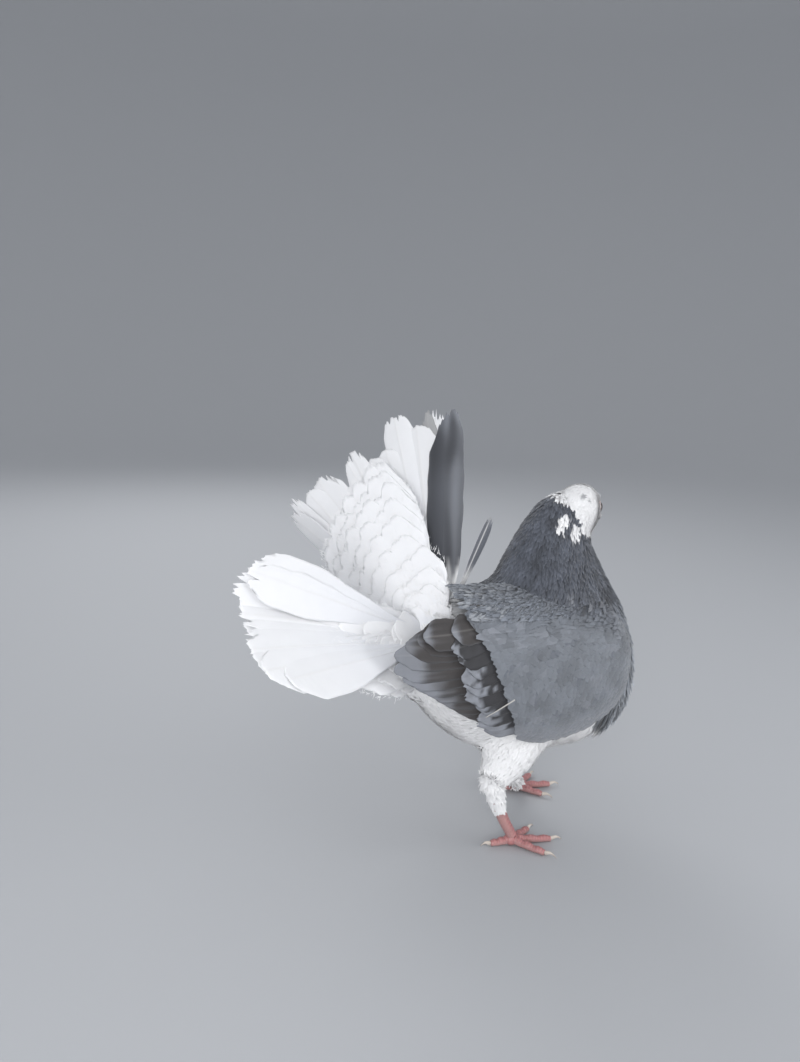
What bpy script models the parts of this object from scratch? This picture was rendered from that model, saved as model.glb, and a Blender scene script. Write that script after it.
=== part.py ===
# Fantail pigeon, a still life-size model that stands on its own two feet.
# The bird looks along +X, its left side is +Y and +Z is up. Sizes are in millimetres until a
# mesh is made, which turns them into metres. The floor is z = 0 and every sole is flat on it.
import math

import bmesh
import bpy
import numpy as np

MM = 0.001
GAP = 0.3                       # clearance that neighbouring pieces keep
SHARP_ANGLE = math.radians(42)  # edges sharper than this stay crisp when the faces are shaded
BOX_CENTRE = (-71.6, 22.9)      # middle of the whole bird, seen from above, from between the feet

# Torso: x, top, bottom, half width
TORSO = [(-88, 121, 95, 15), (-78, 134, 83, 25), (-68, 146, 74, 31), (-58, 155, 67, 36),
         (-35, 164, 58, 43.5), (-10, 167, 55, 47.5), (15, 166, 55, 48), (38, 159, 61, 43),
         (54, 145, 74, 32), (66, 126, 92, 17)]
TORSO_TAIL_END = (-97, 0, 107)
TORSO_BREAST_END = (71, 0, 110)
TORSO_POWER = 2.15              # 2 is an ellipse, more is squarer

# Neck: z, back, front, half width
NECK = [(124, -30, 55, 38), (138, -35, 59, 41), (150, -37, 57, 39), (164, -35, 50, 33),
        (178, -31, 42, 26.5), (190, -25.5, 35, 21.5), (202, -19, 29.5, 17.5),
        (211, -13.5, 25, 14), (219, -8.5, 17, 10.5), (225, -4.5, 10, 6.5)]
NECK_FOOT_END = (12, 0, 118)
NECK_HEAD_END = (3, 0, 228)

# Head in its own frame: x forward, half width, top, bottom
HEAD_CENTRE = np.array([28.5, 2.0, 212.0])
HEAD_TURN = math.radians(34)
HEAD_NOD = math.radians(8)
HEAD = [(-19, 6.5, 9.5, -9.0), (-15, 10.4, 14.5, -13.5), (-8, 12.6, 18.0, -15.0),
        (0, 12.7, 18.8, -14.5), (6, 11.0, 16.6, -13.0), (11, 8.2, 11.8, -10.5),
        (15, 5.4, 7.0, -7.5), (18, 3.2, 3.6, -5.0)]
EYE_PLACE = (5.5, 8.4, 4.5)     # forward, sideways, up from the middle of the head
EYE_RADIUS = 4.6
LID_RADIUS = 4.3
LID_THICKNESS = 0.9
HEAD_BACK_END = (-21.5, 0, 0)
HEAD_FRONT_END = (19, 0, -0.8)
LID_WAY = (0.30, 0.06)          # how far the lids face forward and up
LID_OFFSET = 1.9                # from the eyeball's middle to the ring of the lids
LID_STRETCH = (1.06, 0.94)      # along the head, and up
BILL_START = 14.0
BILL_LENGTH = 19.0
BILL_HALF_WIDTH = 3.7
MOUTH_HEIGHT = -1.6
UPPER_BILL_HEIGHT = 4.4
LOWER_BILL_HEIGHT = 2.5
UPPER_DROOP = 2.6               # the hook at the tip of each half
LOWER_DROOP = 1.6
LOWER_SHORTER = 2.5
CERE_PLACE = (19.4, 1.7, 2.0)
CERE_RADII = (3.4, 1.7, 1.5)
NOSTRIL_PLACE = (21.6, 3.2, 1.1)
NOSTRIL_RADII = (1.7, 1.0, 0.45)

# Feet: where each ankle meets its toes, which way the middle toe points, and the heel
FOOT_JOINT = {"left": (12.5, 29.0), "right": (-29.0, -28.5)}
FOOT_TURN = {"left": -11.0, "right": -15.0}
HEEL = {"left": (-8.5, 31.0, 50.0), "right": (-49.0, -31.0, 50.0)}
THIGH_TOP = {"left": (12.0, 24.0, 86.0), "right": (-22.0, -24.0, 86.0)}
THIGH_RADIUS = [(0, 20), (0.35, 19), (0.7, 14), (1, 8.2)]       # share of the length, radius
THIGH_BULGE = np.array([1.0, 0, -6.0])
SHANK_RADIUS = [(0, 6.6), (0.3, 5.6), (0.65, 3.9), (1, 3.4)]
SHANK_BOW = np.array([-2.0, 0, 0])
ANKLE_HEIGHT = 6.5
FOOT_PAD = [(3.6, 0.0), (4.3, 1.6), (4.1, 4.0), (3.2, 6.2)]     # radius, height
FOOT_TOP = 7.0
TOE_LENGTH = {"middle": 27.0, "inner": 20.0, "outer": 23.0, "hind": 14.0}
TOE_SPREAD = {"middle": 0.0, "inner": -39.0, "outer": 40.0, "hind": 176.0}
TOE_RADIUS = 2.6
CLAW_LENGTH = 7.5
CLAW_RADIUS = 1.35
HIND_CLAW_SHARE = 0.85

# Wing: the rounded hull that both wings lie on, as x, top, bottom, half width
WING_HULL = [(48, 152, 84, 41), (30, 167, 67, 51), (10, 171, 59, 54), (-20, 172, 57, 55),
             (-55, 173, 60, 54), (-90, 176, 70, 52), (-135, 180, 84, 50)]
WING_TOP = [(46, 134), (38, 147), (20, 157), (-5, 161), (-30, 162), (-60, 164), (-75, 163)]
WING_LOW = [(46, 116), (38, 102), (20, 88), (0, 81), (-18, 80), (-40, 87), (-75, 98)]
SHIELD_REAR = (-72.0, -36.0)    # where the shield ends at its top and at its bottom
SHIELD_DEPTH = 4.2
ARM_INSET = 5.0                 # the arm under the shield stays this far inside its outline
ARM_BEHIND = 6.0
ARM_FRONT_TAPER = 2.4           # and this many times farther at the front
ARM_CLEARANCE = 0.35            # more than the gap, because both are made of flat faces
ARM_REACH = 0.62                # its inner side, as a share of the way out from the middle
EDGE_ROUNDING = 2.6
WING_DROOP = {"left": math.radians(11), "right": 0.0}
SHOULDER = np.array([40.0, 0.0, 125.0])

# Feathers of the wing, from the top of the wing to the bottom: tips and roots as x and z
FLIGHT_COUNT = 12
FLIGHT_TIPS = [(-112, 153), (-123, 149), (-129, 143), (-127, 137), (-120, 131), (-110, 125),
               (-98, 117), (-85, 109), (-71, 103)]
FLIGHT_ROOTS = [(-54, 149), (-16, 102)]
FLIGHT_WIDTH = 17.0
FLIGHT_DEPTH = 6.3
GREATER_COUNT = 9
GREATER_TIPS = [(-91, 148), (-86, 136), (-79, 121), (-73, 108), (-66, 98)]
GREATER_ROOTS = [(-60, 151), (-24, 98)]
GREATER_WIDTH = 15.0
GREATER_DEPTH = 2.2
WING_LOUVER = math.radians(9)

# Tail: its root, and the directions of feathers as elevation and swing to the left of straight
# back, in degrees
TAIL_ROOT = np.array([-74.0, 0.0, 135.0])
TAIL_CORE_RADIUS = 20.0
LEFT_LOUVER = math.radians(-10)
RIGHT_LOUVER = math.radians(-14)
TAIL_WIDTH = 34.0
TAIL_SPLIT_TURN = 100.0         # the fan's two sides part across this swing
LEFT_FAN = [(73, 116), (28, 61)]
LEFT_COUNT = 8
LEFT_LENGTHS = [146, 139, 148, 147, 147, 150]
DARK_LIFT = math.radians(3.5)   # the dark first feather stands this far inside the others
RIGHT_FAN = [(24, -12), (18, -12), (11, -20), (6, -29)]
RIGHT_COUNT = 6
RIGHT_LENGTHS = [149, 152, 148, 146, 146, 143, 136]
STRAY_WAY = (68, -174)          # a short feather that stands up over the back
STRAY_ACROSS = (0.83, 0.55, 0.0)
STRAY_SHIFT = (0.0, 3.0, 0.0)
STRAY_LENGTH = 83.0
STRAY_WIDTH = 18.0
COVERT_CORE = (26.0, 44, 35)    # distance from the tail root, elevation, swing
COVERT_CORE_RADIUS = 8.5
ROOT_DEPTH = 8.0                # tail feathers start this far from the middle of the tail's root
COVERT_FAN = [(70, 108), (64, 88), (40, 62), (16, 52)]
COVERT_WIDTH = 30.0
COVERT_TIERS = [(9, 1.0, 12.0), (5, 0.6, 19.0)]     # feathers, share of length, lift from the fan
COVERT_LENGTHS = [88, 126, 128, 120, 108, 95, 84]   # from the top of the fan to its low left side

# Outline of a feather: share of its length, share of its half width
TAIL_VANE = [(0.0, 0.12), (0.25, 0.30), (0.5, 0.68), (0.76, 1.0), (0.92, 0.90), (0.985, 0.50)]
WING_VANE = [(0.0, 0.38), (0.4, 0.85), (0.75, 1.0), (0.93, 0.74)]
COVERT_VANE = [(0.0, 0.22), (0.35, 0.66), (0.72, 1.0), (0.93, 0.74)]
VANE_THICKNESS = 0.6
SHAFT_RIDGE = 0.45

WHITE = (0.83, 0.83, 0.85)
SLATE = (0.085, 0.095, 0.115)
BLUE_GREY = (0.20, 0.225, 0.26)
DARK_FLIGHT = (0.06, 0.06, 0.065)
LEG_RED = (0.50, 0.20, 0.18)
BILL_PINK = (0.72, 0.47, 0.43)
HORN = (0.55, 0.47, 0.42)
EYE_BROWN = (0.07, 0.02, 0.012)


def clear_scene():
    for old in list(bpy.data.objects):
        bpy.data.objects.remove(old, do_unlink=True)


def material(name, colour, roughness):
    finish = bpy.data.materials.new(name)
    finish.use_nodes = True
    shader = finish.node_tree.nodes["Principled BSDF"]
    shader.inputs["Base Color"].default_value = (*colour, 1.0)
    shader.inputs["Roughness"].default_value = roughness
    shader.inputs["Metallic"].default_value = 0.0
    return finish


# Curves and directions

def smooth(keys, values, at):
    """A smooth curve through a few named stations that never overshoots them."""
    keys = np.asarray(keys, float)
    values = np.asarray(values, float)
    if keys[0] > keys[-1]:
        keys, values = keys[::-1], values[::-1]
    step = np.diff(keys)
    slope = np.diff(values) / step
    rate = np.zeros_like(values)
    same = slope[:-1] * slope[1:] > 0
    mean = 2 * slope[:-1] * slope[1:] / np.where(same, slope[:-1] + slope[1:], 1.0)
    rate[1:-1] = np.where(same, mean, 0.0)
    rate[0], rate[-1] = slope[0], slope[-1]
    at = np.clip(np.asarray(at, float), keys[0], keys[-1])
    i = np.clip(np.searchsorted(keys, at, side="right") - 1, 0, len(step) - 1)
    t = (at - keys[i]) / step[i]
    return ((2 * t**3 - 3 * t**2 + 1) * values[i] + (t**3 - 2 * t**2 + t) * step[i] * rate[i]
            + (3 * t**2 - 2 * t**3) * values[i + 1] + (t**3 - t**2) * step[i] * rate[i + 1])


def unit(vectors):
    vectors = np.asarray(vectors, float)
    return vectors / np.linalg.norm(vectors, axis=-1, keepdims=True)


def direction(elevation, swing):
    """Unit vector: degrees above level, and degrees to the left of straight back."""
    rise, turn = math.radians(elevation), math.radians(swing)
    return np.array([-math.cos(rise) * math.cos(turn), math.cos(rise) * math.sin(turn),
                     math.sin(rise)])


def fan_directions(controls, count):
    """Unit vectors spread evenly along the arc that the control directions lie on."""
    ends = np.array([direction(*pair) for pair in controls])
    at = np.linspace(0, len(controls) - 1, count)
    return unit(np.stack([smooth(range(len(controls)), ends[:, k], at) for k in range(3)], axis=1))


# Closed meshes

def new_object(name, points, faces, finish):
    """One closed mesh object from points in millimetres."""
    mesh = bpy.data.meshes.new(name)
    mesh.from_pydata([tuple(p * MM) for p in np.asarray(points, float)], [], faces)
    shape = bmesh.new()
    shape.from_mesh(mesh)
    bmesh.ops.triangulate(shape, faces=[f for f in shape.faces if len(f.verts) > 4])
    bmesh.ops.recalc_face_normals(shape, faces=shape.faces)
    shape.to_mesh(mesh)
    shape.free()
    if finish:
        mesh.materials.append(finish)
    thing = bpy.data.objects.new(name, mesh)
    bpy.context.collection.objects.link(thing)
    return thing


def loft(name, rings, start, end, finish):
    """Rings of points joined in order, closed by a fan of triangles to a point at each end."""
    rings = np.asarray(rings, float)
    count, sides = rings.shape[:2]
    points = np.concatenate([rings.reshape(-1, 3), [start, end]])
    faces = []
    for i in range(count - 1):
        for j in range(sides):
            k = (j + 1) % sides
            faces.append((i * sides + j, i * sides + k, (i + 1) * sides + k, (i + 1) * sides + j))
    for j in range(sides):
        k = (j + 1) % sides
        faces.append((count * sides, j, k))
        faces.append((count * sides + 1, (count - 1) * sides + k, (count - 1) * sides + j))
    return new_object(name, points, faces, finish)


def shell(name, outer, inner, finish):
    """A closed sheet between two grids of points, both faces split into triangles alike."""
    rows, columns = outer.shape[:2]
    size = rows * columns
    points = np.concatenate([outer.reshape(-1, 3), inner.reshape(-1, 3)])
    faces = []
    for i in range(rows - 1):
        for j in range(columns - 1):
            a, b = i * columns + j, i * columns + j + 1
            c, d = a + columns, b + columns
            faces += [(a, b, d), (a, d, c), (size + a, size + d, size + b),
                      (size + a, size + c, size + d)]
    rim = list(range(columns))
    rim += [i * columns + columns - 1 for i in range(1, rows)]
    rim += [(rows - 1) * columns + j for j in range(columns - 2, -1, -1)]
    rim += [i * columns for i in range(rows - 2, 0, -1)]
    for a, b in zip(rim, rim[1:] + rim[:1]):
        faces.append((a, size + a, size + b))
        faces.append((a, size + b, b))
    return new_object(name, points, faces, finish)


def oval(sides, power=2.0):
    """Unit superellipse: across and upright coordinates of each side."""
    turn = np.linspace(0, 2 * math.pi, sides, endpoint=False)
    across = np.sign(np.cos(turn)) * np.abs(np.cos(turn)) ** (2 / power)
    upright = np.sign(np.sin(turn)) * np.abs(np.sin(turn)) ** (2 / power)
    return across, upright


def tube_rings(path, half_width, half_height, sides, level=(0, 0, 1), power=2.0, floor=None):
    """Oval rings square to a path; the second axis is kept as near to level as can be."""
    path = np.asarray(path, float)
    ahead = unit(np.gradient(path, axis=0))
    side = unit(np.cross(np.broadcast_to(level, path.shape), ahead))
    rise = np.cross(ahead, side)
    across, upright = oval(sides, power)
    rings = (path[:, None, :] + side[:, None, :] * (half_width[:, None] * across)[:, :, None]
             + rise[:, None, :] * (half_height[:, None] * upright)[:, :, None])
    if floor is not None:
        rings[:, :, 2] = np.maximum(rings[:, :, 2], floor)
    return rings


def keep_largest(thing):
    """Delete every loose surface but the largest, then split what is left into triangles."""
    shape = bmesh.new()
    shape.from_mesh(thing.data)
    bmesh.ops.remove_doubles(shape, verts=shape.verts, dist=1e-6)
    left = set(shape.verts)
    groups = []
    while left:
        stack = [left.pop()]
        group = set(stack)
        while stack:
            for edge in stack.pop().link_edges:
                for vert in edge.verts:
                    if vert in left:
                        left.remove(vert)
                        group.add(vert)
                        stack.append(vert)
        groups.append(group)

    def spread(group):
        places = np.array([v.co[:] for v in group])
        return float(np.prod(np.ptp(places, axis=0) + 1e-4))

    groups.sort(key=spread)
    loose = [v for group in groups[:-1] for v in group]
    bmesh.ops.delete(shape, geom=loose, context="VERTS")
    bmesh.ops.triangulate(shape, faces=shape.faces)
    shape.to_mesh(thing.data)
    shape.free()


def combine(target, others, operation):
    """One Boolean of the target with a collection of closed meshes, applied."""
    pieces = bpy.data.collections.new(target.name + " pieces")
    for other in others:
        pieces.objects.link(other)
    change = target.modifiers.new("combine", "BOOLEAN")
    change.operation = operation
    change.operand_type = "COLLECTION"
    change.collection = pieces
    change.solver = "MANIFOLD"
    graph = bpy.context.evaluated_depsgraph_get()
    result = bpy.data.meshes.new_from_object(target.evaluated_get(graph))
    target.modifiers.clear()
    target.data = result
    for other in others:
        bpy.data.objects.remove(other, do_unlink=True)
    bpy.data.collections.remove(pieces)
    keep_largest(target)
    return target


def subtract(target, *cutters):
    """Cut one closed mesh after another out of the target."""
    for cutter in cutters:
        combine(target, [cutter], "DIFFERENCE")
    return target


def ball(name, centre, radii, finish, turn=0.0, rings=9, sides=14):
    """Ellipsoid with its first axis swung by turn from +X."""
    fall = np.linspace(0, math.pi, rings + 2)[1:-1]
    round_about = np.linspace(0, 2 * math.pi, sides, endpoint=False)
    x = np.cos(fall)[:, None] * np.ones(sides) * radii[0]
    y = np.sin(fall)[:, None] * np.cos(round_about) * radii[1]
    z = np.sin(fall)[:, None] * np.sin(round_about) * radii[2]
    c, s = math.cos(turn), math.sin(turn)
    grid = np.stack([x * c - y * s, x * s + y * c, z], axis=2) + centre
    tip = np.array([radii[0] * c, radii[0] * s, 0])
    return loft(name, grid, centre + tip, centre - tip, finish)


# Torso and neck

def torso_rings(grow=0.0):
    """Upright oval rings along the torso, from the tail to the breast."""
    keys = [row[0] for row in TORSO]
    x = np.linspace(keys[0], keys[-1], 18)
    top, bottom, half = (smooth(keys, [row[k] for row in TORSO], x) for k in (1, 2, 3))
    across, upright = oval(26, TORSO_POWER)
    middle, height = (top + bottom) / 2, (top - bottom) / 2 + grow
    rings = np.zeros((len(x), len(across), 3))
    rings[:, :, 0] = x[:, None]
    rings[:, :, 1] = (half + grow)[:, None] * across
    rings[:, :, 2] = middle[:, None] + height[:, None] * upright
    rings[0, :, 0] -= grow
    rings[-1, :, 0] += grow
    return rings


def make_torso(name, finish, grow=0.0):
    start = np.array(TORSO_TAIL_END, float) - (grow, 0, 0)
    end = np.array(TORSO_BREAST_END, float) + (grow, 0, 0)
    return loft(name, torso_rings(grow), start, end, finish)


def make_neck(name, finish, grow=0.0):
    """Level oval rings from inside the breast up into the head."""
    keys = [row[0] for row in NECK]
    z = np.linspace(keys[0], keys[-1], 15)
    back, front, half = (smooth(keys, [row[k] for row in NECK], z) for k in (1, 2, 3))
    across, along = oval(24)
    rings = np.zeros((len(z), len(across), 3))
    rings[:, :, 0] = ((front + back) / 2)[:, None] + ((front - back) / 2 + grow)[:, None] * along
    rings[:, :, 1] = (half + grow)[:, None] * across
    rings[:, :, 2] = z[:, None]
    head_end = np.array(NECK_HEAD_END, float) + (0, 0, grow)
    return loft(name, rings, np.array(NECK_FOOT_END, float), head_end, finish)


# Head

def from_head(points):
    """Points of the head's own frame, placed on the bird: nodded, then turned to the left."""
    points = np.asarray(points, float)
    c, s = math.cos(HEAD_NOD), math.sin(HEAD_NOD)
    x = points[..., 0] * c + points[..., 2] * s
    z = -points[..., 0] * s + points[..., 2] * c
    c, s = math.cos(HEAD_TURN), math.sin(HEAD_TURN)
    return np.stack([x * c - points[..., 1] * s, x * s + points[..., 1] * c, z], -1) + HEAD_CENTRE


def make_head(finish):
    keys = [row[0] for row in HEAD]
    x = np.linspace(keys[0], keys[-1], 12)
    half, top, bottom = (smooth(keys, [row[k] for row in HEAD], x) for k in (1, 2, 3))
    across, upright = oval(24)
    rings = np.zeros((len(x), len(across), 3))
    rings[:, :, 0] = x[:, None]
    rings[:, :, 1] = half[:, None] * across
    rings[:, :, 2] = ((top + bottom) / 2)[:, None] + ((top - bottom) / 2)[:, None] * upright
    return loft("head", from_head(rings), from_head(HEAD_BACK_END), from_head(HEAD_FRONT_END),
                finish)


def eye_centre(side):
    return from_head((EYE_PLACE[0], side * EYE_PLACE[1], EYE_PLACE[2]))


def make_eye(name, side, finish, grow=0.0):
    radius = EYE_RADIUS + grow
    return ball(name, eye_centre(side), (radius,) * 3, finish, HEAD_TURN + side * math.pi / 2,
                7, 16)


def make_lids(side, finish):
    """A ring of lid round the eye, lying where the eyeball leaves the head."""
    outward = unit(from_head((LID_WAY[0], side, LID_WAY[1])) - from_head((0, 0, 0)))
    upright = unit(from_head((0, 0, 1.0)) - from_head((0, 0, 0)))
    along = unit(np.cross(upright, outward))
    upright = np.cross(outward, along)
    middle = eye_centre(side) + outward * LID_OFFSET
    count, sides = 16, 5
    turn = np.linspace(0, 2 * math.pi, count, endpoint=False)
    bend = np.linspace(0, 2 * math.pi, sides, endpoint=False)
    points = []
    for a in turn:
        spoke = along * math.cos(a) * LID_STRETCH[0] + upright * math.sin(a) * LID_STRETCH[1]
        for b in bend:
            reach = LID_RADIUS + LID_THICKNESS * math.cos(b)
            points.append(middle + spoke * reach + outward * LID_THICKNESS * math.sin(b))
    faces = []
    for i in range(count):
        for j in range(sides):
            k, following = (j + 1) % sides, (i + 1) % count * sides
            a, b = i * sides + j, i * sides + k
            c, d = following + k, following + j
            faces.append((a, b, c, d))
    return new_object("lids", points, faces, finish)


def bill_half(name, finish, sign, reach, droop, height):
    """Upper (sign 1) or lower (sign -1) half of the bill, flat along the line of the mouth."""
    t = np.linspace(0, 1, 9)
    x = BILL_START + reach * t
    edge = MOUTH_HEIGHT + sign * GAP * 0.6 - droop * t**2.4
    half = BILL_HALF_WIDTH * (1 - 0.86 * t**1.3)
    tall = height * (1 - 0.80 * t**1.9)
    turn = np.linspace(0, math.pi, 9)
    rings = np.zeros((len(t), len(turn), 3))
    rings[:, :, 0] = x[:, None]
    rings[:, :, 1] = half[:, None] * np.cos(turn)
    rings[:, :, 2] = edge[:, None] + sign * tall[:, None] * np.sin(turn)
    start = (BILL_START - 0.5, 0, edge[0] + sign * tall[0] * 0.4)
    end = (BILL_START + reach + 0.8, 0, edge[-1] + sign * tall[-1] * 0.1 - droop * 0.1)
    return loft(name, from_head(rings), from_head(start), from_head(end), finish)


def bill_socket():
    """Cutter for the root of both halves of the bill, all round them by the gap."""
    turn = np.linspace(0, 2 * math.pi, 24, endpoint=False)
    rings = np.zeros((3, len(turn), 3))
    tall = np.where(np.sin(turn) > 0, UPPER_BILL_HEIGHT, LOWER_BILL_HEIGHT) + GAP
    deepest = BILL_START - 0.5 - GAP
    for ring, x in zip(rings, (deepest, BILL_START + 4, BILL_START + 10)):
        ring[:, 0] = x
        ring[:, 1] = (BILL_HALF_WIDTH + GAP) * np.cos(turn)
        ring[:, 2] = MOUTH_HEIGHT + tall * np.sin(turn)
    ends = [(deepest - 0.1, 0, MOUTH_HEIGHT), (BILL_START + BILL_LENGTH, 0, MOUTH_HEIGHT)]
    return loft("socket", from_head(rings), from_head(ends[0]), from_head(ends[1]), None)


def cere(side, finish, grow=0.0):
    """One of the two swellings over the nostrils at the base of the bill."""
    x, y, z = CERE_PLACE
    radii = [radius + grow for radius in CERE_RADII]
    return ball("cere", from_head((x, side * y, z)), radii, finish, HEAD_TURN, 5, 10)


def nostril(side, finish):
    """A slit cutter under the front of each swelling."""
    x, y, z = NOSTRIL_PLACE
    return ball("nostril", from_head((x, side * y, z)), NOSTRIL_RADII, finish, HEAD_TURN, 5, 8)


# Legs

def thigh_path(side):
    top, heel = np.array(THIGH_TOP[side], float), np.array(HEEL[side], float)
    t = np.linspace(0, 1, 7)[:, None]
    return top + (heel - top) * t + THIGH_BULGE * np.sin(math.pi * t)


def radius_along(stations, t):
    return smooth([row[0] for row in stations], [row[1] for row in stations], t)


def make_thigh(side, finish, grow=0.0):
    t = np.linspace(0, 1, 7)
    radius = radius_along(THIGH_RADIUS, t) + grow
    path = thigh_path(side)
    rings = tube_rings(path, radius * 0.92, radius, 16, level=(0, 1, 0))
    ahead = unit(path[-1] - path[-2])
    return loft("thigh_" + side, rings, path[0] - unit(path[1] - path[0]) * 8,
                path[-1] + ahead * (0.5 + grow), finish)


def shank_path(side):
    heel = np.array(HEEL[side], float)
    foot = np.array([*FOOT_JOINT[side], ANKLE_HEIGHT])
    t = np.linspace(0, 1, 7)[:, None]
    start = heel + unit(foot - heel) * 0.5
    return start + (foot - start) * t + SHANK_BOW * np.sin(math.pi * t)


def make_shank(side, finish, grow=0.0):
    t = np.linspace(0, 1, 7)
    radius = radius_along(SHANK_RADIUS, t) + grow
    path = shank_path(side)
    rings = tube_rings(path, radius * 0.9, radius, 12, level=(0, 1, 0))
    ahead = unit(path[-1] - path[-2])
    return loft("shank_" + side, rings, path[0] - unit(path[1] - path[0]) * (0.8 + grow),
                path[-1] + ahead * (0.8 + grow), finish)


def toe_turn(side, toe):
    """Heading of a toe in radians; inner and outer change sides between the feet."""
    mirror = 1 if side == "left" else -1
    return math.radians(FOOT_TURN[side] + mirror * TOE_SPREAD[toe])


def toe_path(side, toe):
    heading = toe_turn(side, toe)
    out = np.array([math.cos(heading), math.sin(heading), 0])
    t = np.linspace(0, 1, 7)
    reach = TOE_LENGTH[toe] * t
    height = TOE_RADIUS * 0.80 - 0.5 * t + 1.5 * (1 - t)**2 + 0.5 * np.sin(3 * math.pi * t)**2
    return np.array([*FOOT_JOINT[side], 0.0]) + out * reach[:, None] + np.array([0, 0, 1]) * \
        height[:, None]


def make_toe(side, toe, finish):
    t = np.linspace(0, 1, 7)
    radius = TOE_RADIUS * (1 - 0.30 * t)
    path = toe_path(side, toe)
    rings = tube_rings(path, radius, radius * 0.92, 8, floor=0.0)
    ahead = unit(path[-1] - path[-2])
    return loft("toe", rings, path[0] - ahead * 1.0, path[-1] + ahead * 0.4, finish)


def make_foot(side, finish):
    joint = np.array([*FOOT_JOINT[side], 0.0])
    pad = oval(12)
    rings = [[joint + (r * a, r * b, h) for a, b in zip(*pad)] for r, h in FOOT_PAD]
    foot = loft("foot_" + side, rings, joint, joint + (0, 0, FOOT_TOP), finish)
    combine(foot, [make_toe(side, toe, finish) for toe in TOE_LENGTH], "UNION")
    return combine(foot, [make_shank(side, finish, GAP)], "DIFFERENCE")


def make_claw(side, toe, finish):
    """A curved cone whose flat root faces the toe's tip and whose point stays off the floor."""
    path = toe_path(side, toe)
    ahead = unit(path[-1] - path[-2])
    ahead[2] = 0.0
    ahead = unit(ahead)
    root = path[-1] + ahead * 0.75
    t = np.linspace(0, 1, 5)[:, None]
    length = CLAW_LENGTH * (HIND_CLAW_SHARE if toe == "hind" else 1.0)
    line = root + ahead * length * 0.92 * t + np.array([0, 0, 1.0]) * (0.9 * np.sin(2.2 * t)
                                                                    - 1.75 * t**2)
    radius = CLAW_RADIUS * (1 - 0.80 * t[:, 0])
    rings = tube_rings(line, radius * 0.72, radius, 8, floor=0.15)
    return loft("claw_" + side + "_" + toe, rings, line[0], line[-1] + unit(line[-1] - line[-2])
                * 0.5, finish)


# Feathers

def feather(place, half_width, outline, finish):
    """One closed vane with blunt edges and a low ridge along its shaft.

    place turns a share of the length, a distance across and a height off the vane into points.
    """
    half = VANE_THICKNESS / 2
    profile = [(-1, half), (0, half + SHAFT_RIDGE), (1, half), (1, -half), (-1, -half)]
    share = np.repeat([row[0] for row in outline], len(profile))
    width = np.repeat([row[1] * half_width for row in outline], len(profile))
    across = width * np.tile([p[0] for p in profile], len(outline))
    height = np.tile([p[1] for p in profile], len(outline))
    share = np.concatenate([share, [outline[0][0], 1.0]])
    points = place(share, np.concatenate([across, [0, 0]]), np.concatenate([height, [0, 0]]))
    sides, count = len(profile), len(outline)
    faces = []
    for i in range(count - 1):
        for j in range(sides):
            a, b = i * sides + j, i * sides + (j + 1) % sides
            c, d = b + sides, a + sides
            faces += [(a, b, d), (b, c, d)] if j == 3 else [(a, b, c), (a, c, d)]
    for j in range(sides):
        k = (j + 1) % sides
        faces.append((count * sides, k, j))
        faces.append((count * sides + 1, (count - 1) * sides + j, (count - 1) * sides + k))
    return new_object("feather", points, faces, finish)


# Wings

def hull_point(x, z, depth):
    """Point of the right-hand hull at x and z, sunk towards the body by depth."""
    keys = [row[0] for row in WING_HULL]
    top, bottom, half = (smooth(keys, [row[k] for row in WING_HULL], x) for k in (1, 2, 3))
    height = (top - bottom) / 2
    rise = np.clip(np.abs(z - (top + bottom) / 2) / height, 0, 0.995)
    y = half * (1 - rise**2.4) ** (1 / 2.4)
    tilt = np.clip(rise, 0, 1) ** 3
    sunk = z - np.sign(z - (top + bottom) / 2) * depth * tilt * 0.5
    return np.stack([x, -(y - depth * (1 - 0.35 * tilt)), sunk], axis=-1)


def place_wing(points, side):
    """Put right-wing points on their side of the bird, drooped about the shoulder."""
    points = np.array(points, float)
    angle = WING_DROOP[side]
    c, s = math.cos(angle), math.sin(angle)
    x, z = points[..., 0] - SHOULDER[0], points[..., 2] - SHOULDER[2]
    points[..., 0] = x * c - z * s * 0.2 + SHOULDER[0]
    points[..., 2] = x * s + z * c + SHOULDER[2]
    if side == "left":
        points[..., 1] *= -1
    return points


def wing_grid(rows, columns, inset, rear_shift):
    """x and z of a grid that covers the shield, inset from its outline, and nearness to an edge."""
    u = np.linspace(0, 1, rows)[:, None]
    v = np.linspace(0, 1, columns)[None, :]
    v = v / 2 + (1 - np.cos(math.pi * v)) / 4
    front = WING_TOP[0][0] - ARM_FRONT_TAPER * inset
    rear = SHIELD_REAR[1] + (SHIELD_REAR[0] - SHIELD_REAR[1]) * v + rear_shift
    x = front + (rear - front) * u
    low = smooth([p[0] for p in WING_LOW], [p[1] for p in WING_LOW], x) + inset
    top = smooth([p[0] for p in WING_TOP], [p[1] for p in WING_TOP], x) - inset
    return x, low + (top - low) * v, np.minimum(np.minimum(u, 1 - u) * 1.6, np.minimum(v, 1 - v))


def make_shield(side, finish):
    x, z, edge = wing_grid(10, 11, 0.0, 0.0)
    round_off = EDGE_ROUNDING * np.clip(1 - edge / 0.16, 0, 1) ** 2
    outer = hull_point(x, z, round_off)
    inner = hull_point(x, z, SHIELD_DEPTH + 0 * x)
    return shell("wing_" + side + "_shield", place_wing(outer, side), place_wing(inner, side),
                 finish)


def make_flight_core(side, finish):
    """The arm of the wing under the shield, reaching in to the side of the torso."""
    x, z, _ = wing_grid(7, 9, ARM_INSET, ARM_BEHIND)
    outer = hull_point(x, z, SHIELD_DEPTH + GAP + ARM_CLEARANCE + 0 * x)
    inner = outer * np.array([1, ARM_REACH, 1])
    return shell("wing_" + side + "_flight", place_wing(outer, side), place_wing(inner, side),
                 finish)


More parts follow.
